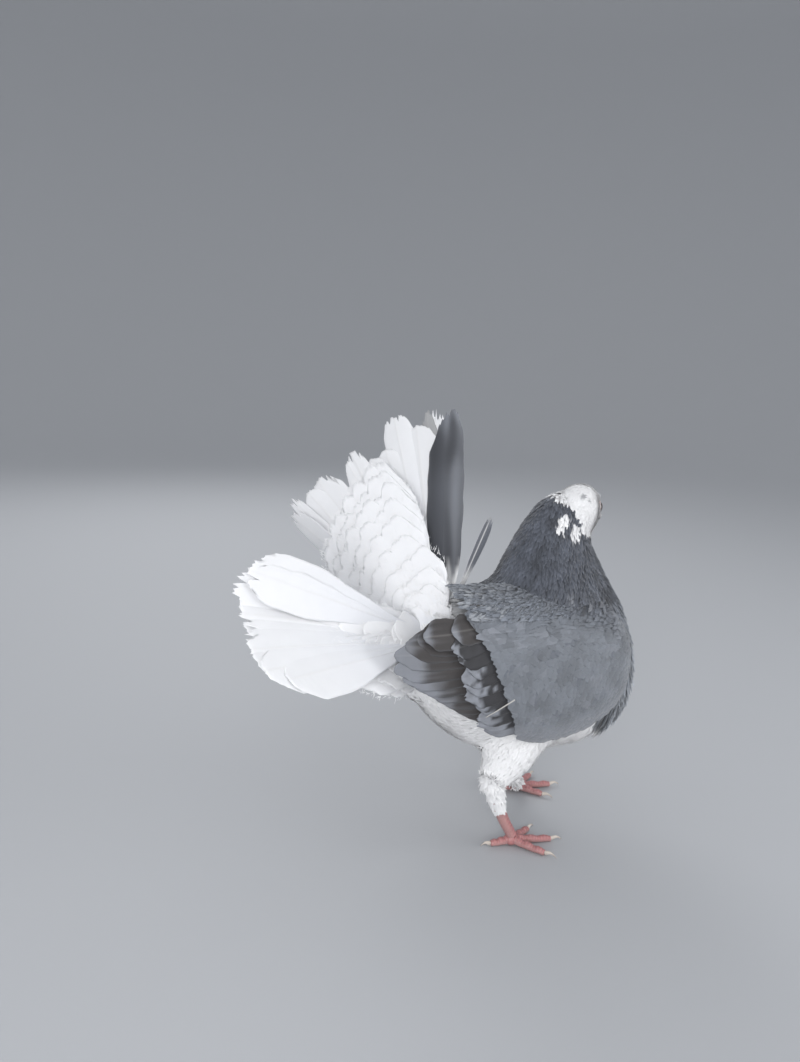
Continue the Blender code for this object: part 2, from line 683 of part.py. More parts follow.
def spread(controls, count):
    """Points spread evenly along the smooth curve through the control points."""
    keys = np.linspace(0, 1, len(controls))
    fine = np.linspace(0, 1, 200)
    curve = np.stack([smooth(keys, [p[k] for p in controls], fine) for k in (0, 1)], axis=1)
    run = np.concatenate([[0], np.cumsum(np.linalg.norm(np.diff(curve, axis=0), axis=1))])
    at = np.linspace(0, run[-1], count)
    return np.stack([np.interp(at, run, curve[:, k]) for k in (0, 1)], axis=1)


def wing_feathers(side, tips, roots, width, depth, count, finish):
    """Overlapping feathers that lie on the wing's hull, each lower edge outermost."""
    tips, roots = spread(tips, count), spread(roots, count)
    feathers = []
    for tip, root in zip(tips, roots):
        run = tip - root
        down = unit(np.array([run[1], -run[0]]))
        if down[1] > 0:
            down = -down

        def place(share, across, height):
            x = root[0] + run[0] * share + down[0] * across
            z = root[1] + run[1] * share + down[1] * across
            sunk = depth - height - across * math.sin(WING_LOUVER)
            return place_wing(hull_point(x, z, sunk), side)

        feathers.append(feather(place, width / 2, WING_VANE, finish))
    return feathers


# Tail

def tail_core(name, finish, grow=0.0):
    radius = TAIL_CORE_RADIUS + grow
    return ball(name, TAIL_ROOT, (radius, radius, radius), finish, 0.0, 11, 20)


def half_space(sign):
    """A block that covers one side of the plane where the fan's two sides part."""
    across = direction(0, TAIL_SPLIT_TURN)
    along = np.array([across[1], -across[0], 0])
    size = 3 * TAIL_CORE_RADIUS
    near = TAIL_ROOT - across * sign * GAP / 2
    corners = [near + across * sign * size * i + along * size * j + np.array([0, 0, size * k])
               for i in (0, 1) for j in (-1, 1) for k in (-1, 1)]
    faces = [(0, 1, 3, 2), (4, 6, 7, 5), (0, 4, 5, 1), (2, 3, 7, 6), (0, 2, 6, 4), (1, 5, 7, 3)]
    return new_object("half space", corners, faces, None)


def make_fan_core(name, side, finish):
    """The half of the tail's fleshy root that one side of the fan grows from."""
    return subtract(tail_core(name, finish), half_space(-1 if side == "left" else 1))


def make_covert_core(finish):
    distance, elevation, swing = COVERT_CORE
    centre = TAIL_ROOT + direction(elevation, swing) * distance
    return ball("tail_coverts_under", centre, (COVERT_CORE_RADIUS,) * 3, finish, 0.0, 9, 14)


def inside_of(ways):
    """For each feather, the way from its middle to the inside of the funnel of the tail."""
    axis = direction(COVERT_CORE[1], COVERT_CORE[2])
    return unit(axis - ways * (ways @ axis)[:, None])


def fan_frames(ways):
    """For each feather, the way across it towards the next one, and its inner face's normal."""
    across = np.gradient(ways, axis=0)
    across = unit(across - ways * (across * ways).sum(axis=1)[:, None])
    normal = np.cross(ways, across)
    return across, normal * np.sign((normal * inside_of(ways)).sum(axis=1))[:, None]


def straight_feather(root, tip, across, normal, louver, width, outline, finish):
    """A feather along a straight line whose vane is turned by the louver about its shaft."""
    c, s = math.cos(louver), math.sin(louver)
    side, face = across * c + normal * s, normal * c - across * s

    def place(share, sideways, height):
        return (root + (tip - root) * share[:, None] + side * sideways[:, None]
                + face * height[:, None])

    return feather(place, width / 2, outline, finish)


def fan_feathers(controls, count, lengths, turned, finish, draw):
    """Tail feathers of one side of the fan, each over the one before it."""
    ways = fan_directions(controls, count)
    across, normal = fan_frames(ways)
    reach = smooth(np.linspace(0, 1, len(lengths)), lengths, np.linspace(0, 1, count))
    feathers = []
    for i, way in enumerate(ways):
        if controls is LEFT_FAN and i == 0:
            way = way * math.cos(DARK_LIFT) + normal[i] * math.sin(DARK_LIFT)
        length = reach[i] + draw.uniform(-1.5, 1.5)
        louver = turned * draw.uniform(0.85, 1.15)
        feathers.append(straight_feather(TAIL_ROOT + way * ROOT_DEPTH, TAIL_ROOT + way * length,
                                         across[i], normal[i], louver, TAIL_WIDTH, TAIL_VANE, finish))
    return feathers


def stray_feather(finish):
    way = direction(*STRAY_WAY)
    across = np.array(STRAY_ACROSS)
    across = unit(across - way * (across @ way))
    root = TAIL_ROOT + np.array(STRAY_SHIFT)
    return straight_feather(root + way * ROOT_DEPTH, root + way * STRAY_LENGTH, across,
                            np.cross(way, across), 0.0, STRAY_WIDTH, TAIL_VANE, finish)


def covert_feathers(finish, draw):
    """Undertail coverts: long ones against the fan, and a shorter tier over them."""
    distance, elevation, swing = COVERT_CORE
    centre = TAIL_ROOT + direction(elevation, swing) * distance
    feathers = []
    for count, share, lift in COVERT_TIERS:
        ways = fan_directions(COVERT_FAN, count)
        across, normal = fan_frames(ways)
        reach = smooth(np.linspace(0, 1, len(COVERT_LENGTHS)), COVERT_LENGTHS,
                       np.linspace(0, 1, count))
        for way, side, face, length in zip(ways, across, normal, reach * share):
            tip = TAIL_ROOT + way * (length + draw.uniform(-2, 2)) + face * lift
            feathers.append(straight_feather(centre, tip, side, face, LEFT_LOUVER, COVERT_WIDTH,
                                             COVERT_VANE, finish))
    return feathers


def stand_on_centre():
    """Shade every piece smooth and set the bird down with the middle of its box at the origin."""
    bird = bpy.data.objects.new("bird", None)
    bpy.context.collection.objects.link(bird)
    bird.location = (-BOX_CENTRE[0] * MM, -BOX_CENTRE[1] * MM, 0)
    for thing in list(bpy.context.collection.objects):
        if thing.type == "MESH":
            thing.data.shade_smooth()
            thing.data.set_sharp_from_angle(angle=SHARP_ANGLE)
            thing.parent = bird


def main():
    clear_scene()
    white = material("white feathers", WHITE, 0.75)
    slate = material("slate feathers", SLATE, 0.7)
    grey = material("blue grey feathers", BLUE_GREY, 0.7)
    dark = material("dark flight feathers", DARK_FLIGHT, 0.65)
    red = material("leg skin", LEG_RED, 0.5)
    pink = material("bill", BILL_PINK, 0.4)
    horn = material("claw horn", HORN, 0.4)
    brown = material("eye", EYE_BROWN, 0.08)

    make_torso("torso", grey)
    neck = make_neck("neck", slate)
    subtract(neck, make_torso("cutter", grey, GAP))

    head = make_head(white)
    combine(head, [make_lids(side, white) for side in (1, -1)], "UNION")
    for side in (1, -1):
        subtract(head, make_eye("cutter", side, brown, GAP), cere(side, pink, GAP))
    subtract(head, make_neck("cutter", slate, GAP), bill_socket())
    make_eye("eye_left", 1, brown)
    make_eye("eye_right", -1, brown)
    upper = bill_half("bill_upper", pink, 1, BILL_LENGTH, UPPER_DROOP, UPPER_BILL_HEIGHT)
    combine(upper, [cere(side, pink) for side in (1, -1)], "UNION")
    subtract(upper, nostril(1, pink), nostril(-1, pink))
    bill_half("bill_lower", pink, -1, BILL_LENGTH - LOWER_SHORTER, LOWER_DROOP, LOWER_BILL_HEIGHT)

    for side in ("left", "right"):
        subtract(make_thigh(side, white), make_torso("cutter", grey, GAP),
                 make_shank(side, red, GAP))
        make_shank(side, red)
        make_foot(side, red)
        for toe in TOE_LENGTH:
            make_claw(side, toe, horn)
        shield = make_shield(side, grey)
        combine(shield, wing_feathers(side, GREATER_TIPS, GREATER_ROOTS, GREATER_WIDTH,
                                      GREATER_DEPTH, GREATER_COUNT, grey), "UNION")
        subtract(shield, make_torso("cutter", grey, GAP), make_neck("cutter", slate, GAP),
                 make_thigh(side, white, GAP))
        flight = make_flight_core(side, dark)
        combine(flight, wing_feathers(side, FLIGHT_TIPS, FLIGHT_ROOTS, FLIGHT_WIDTH,
                                      FLIGHT_DEPTH, FLIGHT_COUNT, dark), "UNION")
        subtract(flight, make_torso("cutter", grey, GAP), make_neck("cutter", slate, GAP),
                 make_thigh(side, white, GAP))

    draw = np.random.default_rng(11)
    left_fan = make_fan_core("tail_fan_left", "left", white)
    combine(left_fan, fan_feathers(LEFT_FAN, LEFT_COUNT, LEFT_LENGTHS, LEFT_LOUVER, white, draw)
            + [stray_feather(white)], "UNION")
    subtract(left_fan, make_torso("cutter", grey, GAP))
    right_fan = make_fan_core("tail_fan_right", "right", white)
    combine(right_fan, fan_feathers(RIGHT_FAN, RIGHT_COUNT, RIGHT_LENGTHS, RIGHT_LOUVER, white,
                                    draw), "UNION")
    subtract(right_fan, make_torso("cutter", grey, GAP))
    coverts = make_covert_core(white)
    combine(coverts, covert_feathers(white, draw), "UNION")
    subtract(coverts, tail_core("cutter", white, GAP))
    stand_on_centre()


main()
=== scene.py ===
import math

import bpy
import numpy as np
from mathutils import Matrix, Vector


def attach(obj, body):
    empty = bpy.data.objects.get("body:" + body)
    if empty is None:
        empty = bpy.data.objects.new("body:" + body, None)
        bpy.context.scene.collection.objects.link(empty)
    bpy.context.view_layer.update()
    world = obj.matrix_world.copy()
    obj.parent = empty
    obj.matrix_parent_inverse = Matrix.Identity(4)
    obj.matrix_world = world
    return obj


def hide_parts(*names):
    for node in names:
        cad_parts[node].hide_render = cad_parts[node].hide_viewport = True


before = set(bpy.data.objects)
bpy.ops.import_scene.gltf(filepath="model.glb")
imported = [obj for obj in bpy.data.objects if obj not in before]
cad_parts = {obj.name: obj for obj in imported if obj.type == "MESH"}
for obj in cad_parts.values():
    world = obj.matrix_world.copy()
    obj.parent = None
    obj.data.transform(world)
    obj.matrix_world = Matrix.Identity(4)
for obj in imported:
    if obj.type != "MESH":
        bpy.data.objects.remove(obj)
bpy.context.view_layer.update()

MM = 0.001
ORIGIN = np.array([-71.6, 22.9, 0.0])
SIDES = {"left": 1, "right": -1}
PATCH = 0.003                 # size of a small feather on the bake map
VANE_SCALE = 0.01             # vane map for each millimetre

# Body, as in the solids. Torso by x and head by its own x: top, bottom, half width
TORSO = np.array([(-97, 109, 105, 1), (-94.5, 115, 100, 8), (-88, 121, 95, 15), (-78, 134, 83, 25),
                  (-68, 146, 74, 31), (-58, 155, 67, 36), (-35, 164, 58, 43.5), (-10, 167, 55, 47.5),
                  (15, 166, 55, 48), (38, 159, 61, 43), (54, 145, 74, 32), (66, 126, 92, 17),
                  (70, 115, 102, 7), (71, 110, 107, 1)], float)
HEAD = np.array([(-21.5, 1, -1, 1), (-19, 9.5, -9.0, 6.5), (-15, 14.5, -13.5, 10.4),
                 (-8, 18.0, -15.0, 12.6), (0, 18.8, -14.5, 12.7), (6, 16.6, -13.0, 11.0),
                 (11, 11.8, -10.5, 8.2), (15, 7.0, -7.5, 5.4), (18, 3.6, -5.0, 3.2),
                 (19.2, 0.4, -1.6, 0.8)], float)
# Neck by z: back, front, half width
NECK = np.array([(124, -30, 55, 38), (138, -35, 59, 41), (150, -37, 57, 39), (164, -35, 50, 33),
                 (178, -31, 42, 26.5), (190, -25.5, 35, 21.5), (202, -19, 29.5, 17.5),
                 (211, -13.0, 25, 14), (217, -8.5, 18, 10.5), (222, -2.5, 12, 6.5),
                 (225.5, 3, 8, 2)], float)
NECK_FOOT = 100               # height down to which the neck reaches inside the torso
HEAD_CENTRE = np.array([28.5, 2.0, 212.0])
HEAD_TURN, HEAD_NOD = math.radians(34), math.radians(8)
EYE_PLACE = (3.8, 8.6, 4.5)
EYE_RADIUS, LID_RADIUS = 4.6, 4.3
BILL_START, BILL_LENGTH, MOUTH_HEIGHT = 14.0, 19.0, -1.6
FOOT_JOINT = {"left": (12.5, 29.0), "right": (-29.0, -28.5)}
FOOT_TURN = {"left": -11.0, "right": -15.0}
HEEL = {"left": (-8.5, 31.0, 50.0), "right": (-49.0, -31.0, 50.0)}
THIGH_TOP = {"left": (12.0, 24.0, 86.0), "right": (-22.0, -24.0, 86.0)}
THIGH_BULGE = np.array([-1.0, 0, -4.0])
THIGH_RADIUS = [(0, 19), (0.35, 17.5), (0.7, 12.0), (1, 7.6)]
SHANK_RADIUS = [(0, 6.2), (0.3, 5.0), (0.65, 3.6), (1, 3.3)]
TOE_LENGTH = {"middle": 27.0, "inner": 20.0, "outer": 23.0, "hind": 14.0}
TOE_SPREAD = {"middle": 0.0, "inner": -39.0, "outer": 40.0, "hind": 176.0}
TOE_RADIUS, CLAW_LENGTH = 2.6, 7.5
# Hull that the folded wing lies on, by x: top, bottom, half width; then the shield's edges
WING_HULL = np.array([(48, 152, 84, 41), (30, 167, 67, 51), (10, 171, 59, 54),
                      (-20, 172, 57, 55), (-55, 173, 60, 54), (-90, 176, 70, 52),
                      (-135, 180, 84, 50)], float)
HULL_POWER, HULL_RADIUS = 1.2, 54.0
WING_TOP = [(46, 134), (38, 147), (20, 157), (-5, 161), (-30, 162), (-60, 164), (-75, 163)]
WING_LOW = [(46, 116), (38, 102), (20, 88), (0, 81), (-18, 80), (-40, 87), (-75, 98)]
SHIELD_FRONT, SHIELD_REAR = 46, (-72.0, -36.0)
WING_DROOP = {"left": math.radians(11), "right": 0.0}
SHOULDER = np.array([40.0, 0.0, 125.0])
TAIL_ROOT, TAIL_CORE_RADIUS = np.array([-74.0, 0.0, 135.0]), 17.0
COVERT_WAY = (44, 35)         # middle of the undertail coverts, as direction() takes it
ROOT_PAD = (14.0, 12.0, 8.0)  # reach from the tail's root, radius at each end
# Rods that fill the body out: two ends, two radii. One behind the crown, one between the wings
NAPE = ((4.0, -2.0, 210.0), (21.0, 0.5, 216.5), 9.0, 11.6)
SADDLE = ((-14.0, -3.0, 150.0), (-56.0, -4.0, 148.0), 15.0, 13.5)

# Colours of the plumage and the bare parts
WHITE = np.array([0.80, 0.80, 0.81])
SLATE = np.array([0.068, 0.076, 0.096])
MANTLE = np.array([0.115, 0.128, 0.152])
BLUE_GREY = np.array([0.140, 0.153, 0.174])
DARK_BAR = np.array([0.024, 0.024, 0.028])
FLIGHT = np.array([0.040, 0.036, 0.036])
TAIL_SLATE = np.array([0.062, 0.066, 0.078])
PALE_TIP = np.array([0.21, 0.222, 0.250])
BARE_SKIN = np.array([0.60, 0.46, 0.43])
LID_SKIN = np.array([0.55, 0.48, 0.47])
LEG_PINK = np.array([0.43, 0.190, 0.190])
BILL_PINK = np.array([0.66, 0.36, 0.35])
BILL_TIP = np.array([0.76, 0.66, 0.62])
CERE_PALE = np.array([0.74, 0.62, 0.60])
NOSTRIL_SHADE = np.array([0.05, 0.02, 0.02])
CLAW_PALE = np.array([0.60, 0.54, 0.48])
CLAW_DARK = np.array([0.16, 0.12, 0.11])
QUILL = np.array([0.62, 0.60, 0.57])
PUPIL = np.array([0.004, 0.003, 0.003])
IRIS = np.array([0.062, 0.026, 0.018])
EYE_RIM_SHADE = np.array([0.010, 0.006, 0.006])


def smooth(keys, values, at):
    """Smooth curve through the stations that never overshoots them, as in the solids.

    A cubic between neighbours; the slope at each is the harmonic mean of those beside it.
    """
    keys, values = np.asarray(keys, float), np.asarray(values, float)
    if keys[0] > keys[-1]:
        keys, values = keys[::-1], values[::-1]
    step = np.diff(keys)
    slope = np.diff(values) / step
    same = slope[:-1] * slope[1:] > 0
    mean = 2 * slope[:-1] * slope[1:] / np.where(same, slope[:-1] + slope[1:], 1.0)
    rate = np.concatenate([[slope[0]], np.where(same, mean, 0.0), [slope[-1]]])
    at = np.clip(np.asarray(at, float), keys[0], keys[-1])
    i = np.clip(np.searchsorted(keys, at, side="right") - 1, 0, len(step) - 1)
    t = (at - keys[i]) / step[i]
    return ((2 * t**3 - 3 * t**2 + 1) * values[i] + (t**3 - 2 * t**2 + t) * step[i] * rate[i]
            + (3 * t**2 - 2 * t**3) * values[i + 1] + (t**3 - t**2) * step[i] * rate[i + 1])


def curve(table, at, column=1):
    """Smooth curve through one column of a table, over its first column."""
    table = np.asarray(table, float)
    return smooth(table[:, 0], table[:, column], at)


def stacked(*values):
    """Coordinates put side by side as points, each first spread over the shape of all."""
    return np.stack(np.broadcast_arrays(*values), -1)


def circle(sides):
    """Angles of evenly spaced points round a circle."""
    return np.linspace(0, 2 * math.pi, sides, endpoint=False)


def unit(vectors):
    """Vectors scaled to length one."""
    vectors = np.asarray(vectors, float)
    return vectors / np.maximum(np.linalg.norm(vectors, axis=-1, keepdims=True), 1e-9)


def dot(a, b):
    """Sum of the products of like coordinates."""
    return (a * b).sum(-1)


def ease(low, high, value):
    """0 below low and 1 above high, joined by a smooth S."""
    t = np.clip((value - low) / (high - low), 0, 1)
    return t * t * (3 - 2 * t)


def blend(first, second, share):
    """First colour or vector, moved towards the second by a share of the difference."""
    return first + (second - first) * np.asarray(share)[..., None]


def ripple(points, size, seed):
    """Soft random field from about -1 to 1: eleven sine waves of random heading, length near size."""
    draw = np.random.default_rng(seed)
    heading = unit(draw.normal(size=(11, 3))) * draw.uniform(0.6, 1.6, (11, 1)) * 2 * math.pi / size
    phase = draw.uniform(0, 2 * math.pi, 11)
    return np.sin(points @ heading.T + phase).sum(-1) / 3.6


def direction(elevation, swing):
    """Unit vector from degrees above level and degrees to the left of straight back."""
    rise, turn = np.radians(elevation), np.radians(swing)
    return stacked(-np.cos(rise) * np.cos(turn), np.cos(rise) * np.sin(turn), np.sin(rise))


COVERT_ROOT = TAIL_ROOT + direction(*COVERT_WAY) * ROOT_PAD[0]
RUMP_ROD = (TAIL_ROOT, COVERT_ROOT, *ROOT_PAD[1:])


def spun(points, angle, first, second):
    """Points turned by the angle from the first axis towards the second."""
    points = np.array(points, float)
    c, s = math.cos(angle), math.sin(angle)
    a, b = points[..., first].copy(), points[..., second].copy()
    points[..., first], points[..., second] = a * c - b * s, a * s + b * c
    return points


def from_head(points):
    """Points of the head's own frame on the bird: nodded, then turned to the left."""
    return spun(spun(points, HEAD_NOD, 2, 0), HEAD_TURN, 0, 1) + HEAD_CENTRE


def to_head(points):
    """Points of the bird in the head's own frame: from_head() undone."""
    return spun(spun(points - HEAD_CENTRE, -HEAD_TURN, 0, 1), -HEAD_NOD, 2, 0)


# Mesh making

def grid_faces(rows, columns, wrap=False):
    """Quads of a grid whose vertices run row by row; wrap joins the last column to the first."""
    i = np.arange(rows - 1)[:, None] * columns
    j = np.arange(columns if wrap else columns - 1)[None, :]
    k = (j + 1) % columns
    return np.stack([i + j, i + k, i + columns + k, i + columns + j], -1).reshape(-1, 4)


def part(points, quads, tint, vane=0.0, bake=0.0, tris=()):
    """One bundle of arrays: points, quads, triangles, colour, vane and bake coordinates.

    The last three are spread over the shape of the points, and all become plain lists of rows.
    """
    shape = points.shape[:-1]
    tint, vane, bake = (np.broadcast_to(values, (*shape, width)).reshape(-1, width)
                        for values, width in ((tint, 3), (vane, 2), (bake, 2)))
    return (points.reshape(-1, 3), quads.reshape(-1, 4), np.reshape(tris, (-1, 3)).astype(int),
            tint, vane, bake)


def joined(parts):
    """Bundles put end to end in one, with the corner numbers of each moved on."""
    starts = np.cumsum([0] + [len(p[0]) for p in parts[:-1]])
    return tuple(np.concatenate([p[k] + (s if k in (1, 2) else 0) for p, s in zip(parts, starts)])
                 for k in range(6))


def tube(rings, tint=WHITE, start=None, end=None, bake=0.0):
    """Rings joined in order into a closed tube, each end drawn to a point."""
    count, sides = rings.shape[:2]
    start = rings[0].mean(0) if start is None else start
    end = rings[-1].mean(0) if end is None else end
    j = np.arange(sides)
    k = (j + 1) % sides
    last, tip = (count - 1) * sides, count * sides
    tris = np.concatenate([stacked(tip, k, j), stacked(tip + 1, last + j, last + k)])
    tint, bake = (np.concatenate([values.reshape(tip, -1), [values[0].mean(0), values[-1].mean(0)]])
                  for values in (np.broadcast_to(tint, (count, sides, 3)),
                                 np.broadcast_to(bake, (count, sides, 2))))
    return part(np.concatenate([rings.reshape(-1, 3), [start, end]]), grid_faces(count, sides, True),
                tint, 0.0, bake, tris)


def pipe(path, radius, sides, level=(0, 1, 0), flat=1.0, floor=-math.inf):
    """Oval rings square to a path, the second axis kept as near to level as can be."""
    ahead = unit(np.gradient(path, axis=0))
    side = unit(np.cross(np.broadcast_to(np.array(level, float), path.shape), ahead))
    rise = np.cross(ahead, side)
    turn = circle(sides)
    rings = (path[:, None] + side[:, None] * (flat * radius[:, None] * np.cos(turn))[..., None]
             + rise[:, None] * (radius[:, None] * np.sin(turn))[..., None])
    rings[..., 2] = np.maximum(rings[..., 2], floor)
    return rings


def two_sided(upper, lower):
    """Points and quads of a closed sheet: two like grids back to back, joined round their rim."""
    rows, n = upper.shape[:2]
    size = rows * n
    quads = grid_faces(rows, n)
    rim = np.concatenate([np.arange(n), np.arange(1, rows) * n + n - 1,
                          size - n + np.arange(n - 2, -1, -1), np.arange(rows - 2, 0, -1) * n])
    follow = np.roll(rim, -1)
    return np.stack([upper, lower]), np.concatenate(
        [quads, quads[:, ::-1] + size, stacked(rim, rim + size, follow + size, follow)])


def ball(centre, radii, turn, tint, rings=16, sides=22):
    """Closed ellipsoid, its first axis swung by turn from straight ahead."""
    fall = np.linspace(0, math.pi, rings + 2)[1:-1, None]
    about = circle(sides)
    shape = stacked(np.cos(fall) * radii[0], np.sin(fall) * np.cos(about) * radii[1],
                    np.sin(fall) * np.sin(about) * radii[2])
    tip = spun([radii[0], 0.0, 0.0], turn, 0, 1)
    return tube(spun(shape, turn, 0, 1) + centre, tint, centre + tip, centre - tip,
                stacked(about / 7, fall / 3.2))


def outward_faces(bundle, middle):
    """The bundle with every face turned round, where most of them look towards the middle."""
    corners = bundle[0][bundle[1]]
    normal = np.cross(corners[:, 1] - corners[:, 0], corners[:, 2] - corners[:, 0])
    if dot(normal, corners.mean(1) - middle).sum() < 0:
        return (bundle[0], bundle[1][:, ::-1], bundle[2][:, ::-1], *bundle[3:])
    return bundle


def moved_bake(bundle, across, up):
    """The bundle with its bake coordinates shrunk to a quarter and moved to their own place."""
    return (*bundle[:5], bundle[5] * 0.25 + (across, up))


def vane_grid(draw, length, width, rows, columns, base, tip, rounding, jag, power=2.0):
    """Grids of small vanes: shares along and across, then millimetres along and across.

    The width follows a profile from its base to its tip. The tip is cut back by a power of the
    distance across and by a random jag, both by the square of the share along.
    """
    s, u = np.linspace(0, 1, rows)[:, None], np.linspace(-1, 1, columns)
    profile = smooth([0, 0.3, 0.65, 1], [base, base + 0.4, 1, tip], s)
    cut = rounding * np.abs(u) ** power + jag * draw.random((len(length), columns))
    along = (s - cut[:, None] * s**2) * length[:, None, None]
    return s, u, along, u * profile * (width / 2)[:, None, None]


def tufts(points, s, u, along, across, colour, spot):
    """Bundle of small vanes from their grids, each with a patch of its own on the bake map."""
    count, rows, columns = points.shape[:3]
    quads = grid_faces(rows, columns) + (np.arange(count) * rows * columns)[:, None, None]
    bake = spot[:, None, None] + PATCH * stacked(0.5 * u, s - 0.5)
    return part(points, quads, colour, stacked(across, along) * VANE_SCALE, bake)


def piece(name, bundle, finish, slot, *nodes):
    """A mesh object from a bundle, riding on the bird and standing for the named solids."""
    points, quads, tris, tint, vane, bake = bundle
    corners = np.concatenate([quads.ravel(), tris.ravel()]).astype(np.int32)
    sizes = np.repeat([4, 3], [len(quads), len(tris)]).astype(np.int32)
    mesh = bpy.data.meshes.new(name)
    mesh.vertices.add(len(points))
    mesh.vertices.foreach_set("co", ((points - ORIGIN) * MM).astype(np.float32).ravel())
    mesh.loops.add(len(corners))
    mesh.loops.foreach_set("vertex_index", corners)
    mesh.polygons.add(len(sizes))
    mesh.polygons.foreach_set("loop_start", (np.cumsum(sizes) - sizes).astype(np.int32))
    mesh.update(calc_edges=True)
    mesh.shade_smooth()
    colour = mesh.attributes.new("tint", "FLOAT_COLOR", "POINT")
    rgba = np.concatenate([np.clip(tint, 0, 1), np.ones((len(points), 1))], 1)
    colour.data.foreach_set("color", rgba.astype(np.float32).ravel())
    for label, values in (("OFBake", bake), ("vane", vane)):
        layer = mesh.uv_layers.new(name=label)
        layer.data.foreach_set("uv", values[corners].astype(np.float32).ravel())
    mesh.validate()
    mesh.materials.append(finish)
    thing = bpy.data.objects.new(name, mesh)
    bpy.context.collection.objects.link(thing)
    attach(thing, "root")
    if nodes:
        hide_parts(*nodes)
    return thing


# Materials

def material(name, roughness, **sockets):
    """New material with values for its shader's own sockets."""
    finish = bpy.data.materials.new(name)
    finish.use_nodes = True
    shader = finish.node_tree.nodes["Principled BSDF"]
    for socket, value in {"Roughness": roughness, **sockets}.items():
        shader.inputs[socket.replace("_", " ")].default_value = value
    return finish, finish.node_tree, shader


def node(tree, kind, inputs=(), **settings):
    """A new node with its settings, each input given a value or another node's socket."""
    made = tree.nodes.new("ShaderNode" + kind)
    for key, value in settings.items():
        setattr(made, key, value)
    for key, value in dict(inputs).items():
        if isinstance(value, bpy.types.NodeSocket):
            tree.links.new(value, made.inputs[key])
        else:
            made.inputs[key].default_value = value
    return made


def maths(tree, operation, *values):
    """Result of a sum, product or other operation on values or sockets."""
    return node(tree, "Math", dict(enumerate(values)), operation=operation).outputs[0]


def noise(tree, place, scale, detail):
    """Soft cloud pattern from 0 to 1 at a place in space."""
    inputs = {"Vector": place, "Scale": scale, "Detail": detail}
    return node(tree, "TexNoise", inputs).outputs["Fac"]


def bumped(tree, shader, height, strength, distance=0.0004):
    """Shader's surface raised by a height pattern, by a share of a distance in metres."""
    bump = node(tree, "Bump", {"Height": height, "Strength": strength, "Distance": distance})
    tree.links.new(bump.outputs[0], shader.inputs["Normal"])


def tinted(tree, shader, shade):
    """Base colour: the piece's own colour times a shade."""
    tint = node(tree, "Attribute", attribute_name="tint").outputs["Color"]
    grey = node(tree, "CombineXYZ", {0: shade, 1: shade, 2: shade}).outputs[0]
    colour = node(tree, "Mix", {0: 1.0, 6: tint, 7: grey}, data_type="RGBA", blend_type="MULTIPLY")
    tree.links.new(colour.outputs[2], shader.inputs["Base Color"])


def feather_finish(name, roughness, barb_pitch, barb_depth, mottle, sheen=0.25):
    """Feather vane: the piece's own colour, with fine barbs that slant out from the shaft.

    The vane map holds millimetres across and along, in hundredths. A sine of period barb_pitch
    runs along it, moved back by the distance from the shaft, so that the barbs slant.
    """
    finish, tree, shader = material(name, roughness, Sheen_Weight=sheen, Sheen_Roughness=0.5)
    vane = node(tree, "UVMap", uv_map="vane").outputs[0]
    across, along = node(tree, "SeparateXYZ", {0: vane}).outputs[:2]
    slant = maths(tree, "SUBTRACT", along, maths(tree, "ABSOLUTE", across))
    place = node(tree, "TexCoord").outputs["Object"]
    wobble = maths(tree, "MULTIPLY", noise(tree, place, 260.0, 2.0), 5.0)
    barb = maths(tree, "SINE", maths(tree, "MULTIPLY_ADD", slant, 628.3 / barb_pitch, wobble))
    patch = maths(tree, "MULTIPLY_ADD", noise(tree, place, 90.0, 4.0), mottle * 2.0, 1.0 - mottle)
    tinted(tree, shader, maths(tree, "MULTIPLY_ADD", barb, mottle * 0.35, patch))
    bumped(tree, shader, barb, barb_depth)
    return finish


def scaled_finish(name, roughness, scale, strength, grain, **sockets):
    """Tinted horn or skin with a cell pattern of fine scales and a soft uneven colour."""
    finish, tree, shader = material(name, roughness, **sockets)
    place = node(tree, "TexCoord").outputs["Object"]
    cells = node(tree, "TexVoronoi", {"Vector": place, "Scale": scale}).outputs["Distance"]
    patch = maths(tree, "MULTIPLY_ADD", noise(tree, place, 160.0, 5.0), grain * 2.0, 1.0 - grain)
    tinted(tree, shader, maths(tree, "MULTIPLY", patch,
                               maths(tree, "MULTIPLY_ADD", cells, -grain, 1.0)))
    bumped(tree, shader, cells, strength)
    return finish


contour_finish = feather_finish("contour feathers", 0.72, 0.55, 0.25, 0.10)
white_finish = feather_finish("white vanes", 0.62, 0.9, 0.22, 0.035)
dark_finish = feather_finish("dark vanes", 0.62, 0.9, 0.30, 0.12, 0.08)
fluff_finish = feather_finish("soft white plumes", 0.80, 0.7, 0.15, 0.04, 0.4)
skin_finish = scaled_finish("skin under the plumage", 0.8, 900.0, 0.3, 0.10)
leg_finish = scaled_finish("scaly leg skin", 0.42, 1100.0, 0.35, 0.16, Subsurface_Weight=0.08,
                           Subsurface_Scale=0.002)
bill_finish = scaled_finish("bill horn and cere", 0.38, 500.0, 0.06, 0.07,
                            Subsurface_Weight=0.12, Subsurface_Scale=0.002)
lid_finish = scaled_finish("eyelid skin", 0.5, 2600.0, 0.4, 0.08)
claw_finish = scaled_finish("claw horn", 0.34, 700.0, 0.05, 0.12)
eye_finish = scaled_finish("eye", 0.04, 2400.0, 0.0, 0.14, Coat_Weight=1.0, Coat_Roughness=0.02)


# The body as a field: how far a point is from the outer surface of the solids, below zero inside

FIELD_LOW = np.array([-122.0, -66.0, 34.0])
FIELD_STEP = 1.6
FIELD_SHAPE = (126, 84, 128)
FIELD_LIMITS = (-40, 60)


def form_at(table, at):
    """Middle, half height and half width of a form with oval sections, at a place along it."""
    first, second, half = (curve(table, at, k) for k in (1, 2, 3))
    return (first + second) / 2, np.abs(first - second) / 2, half


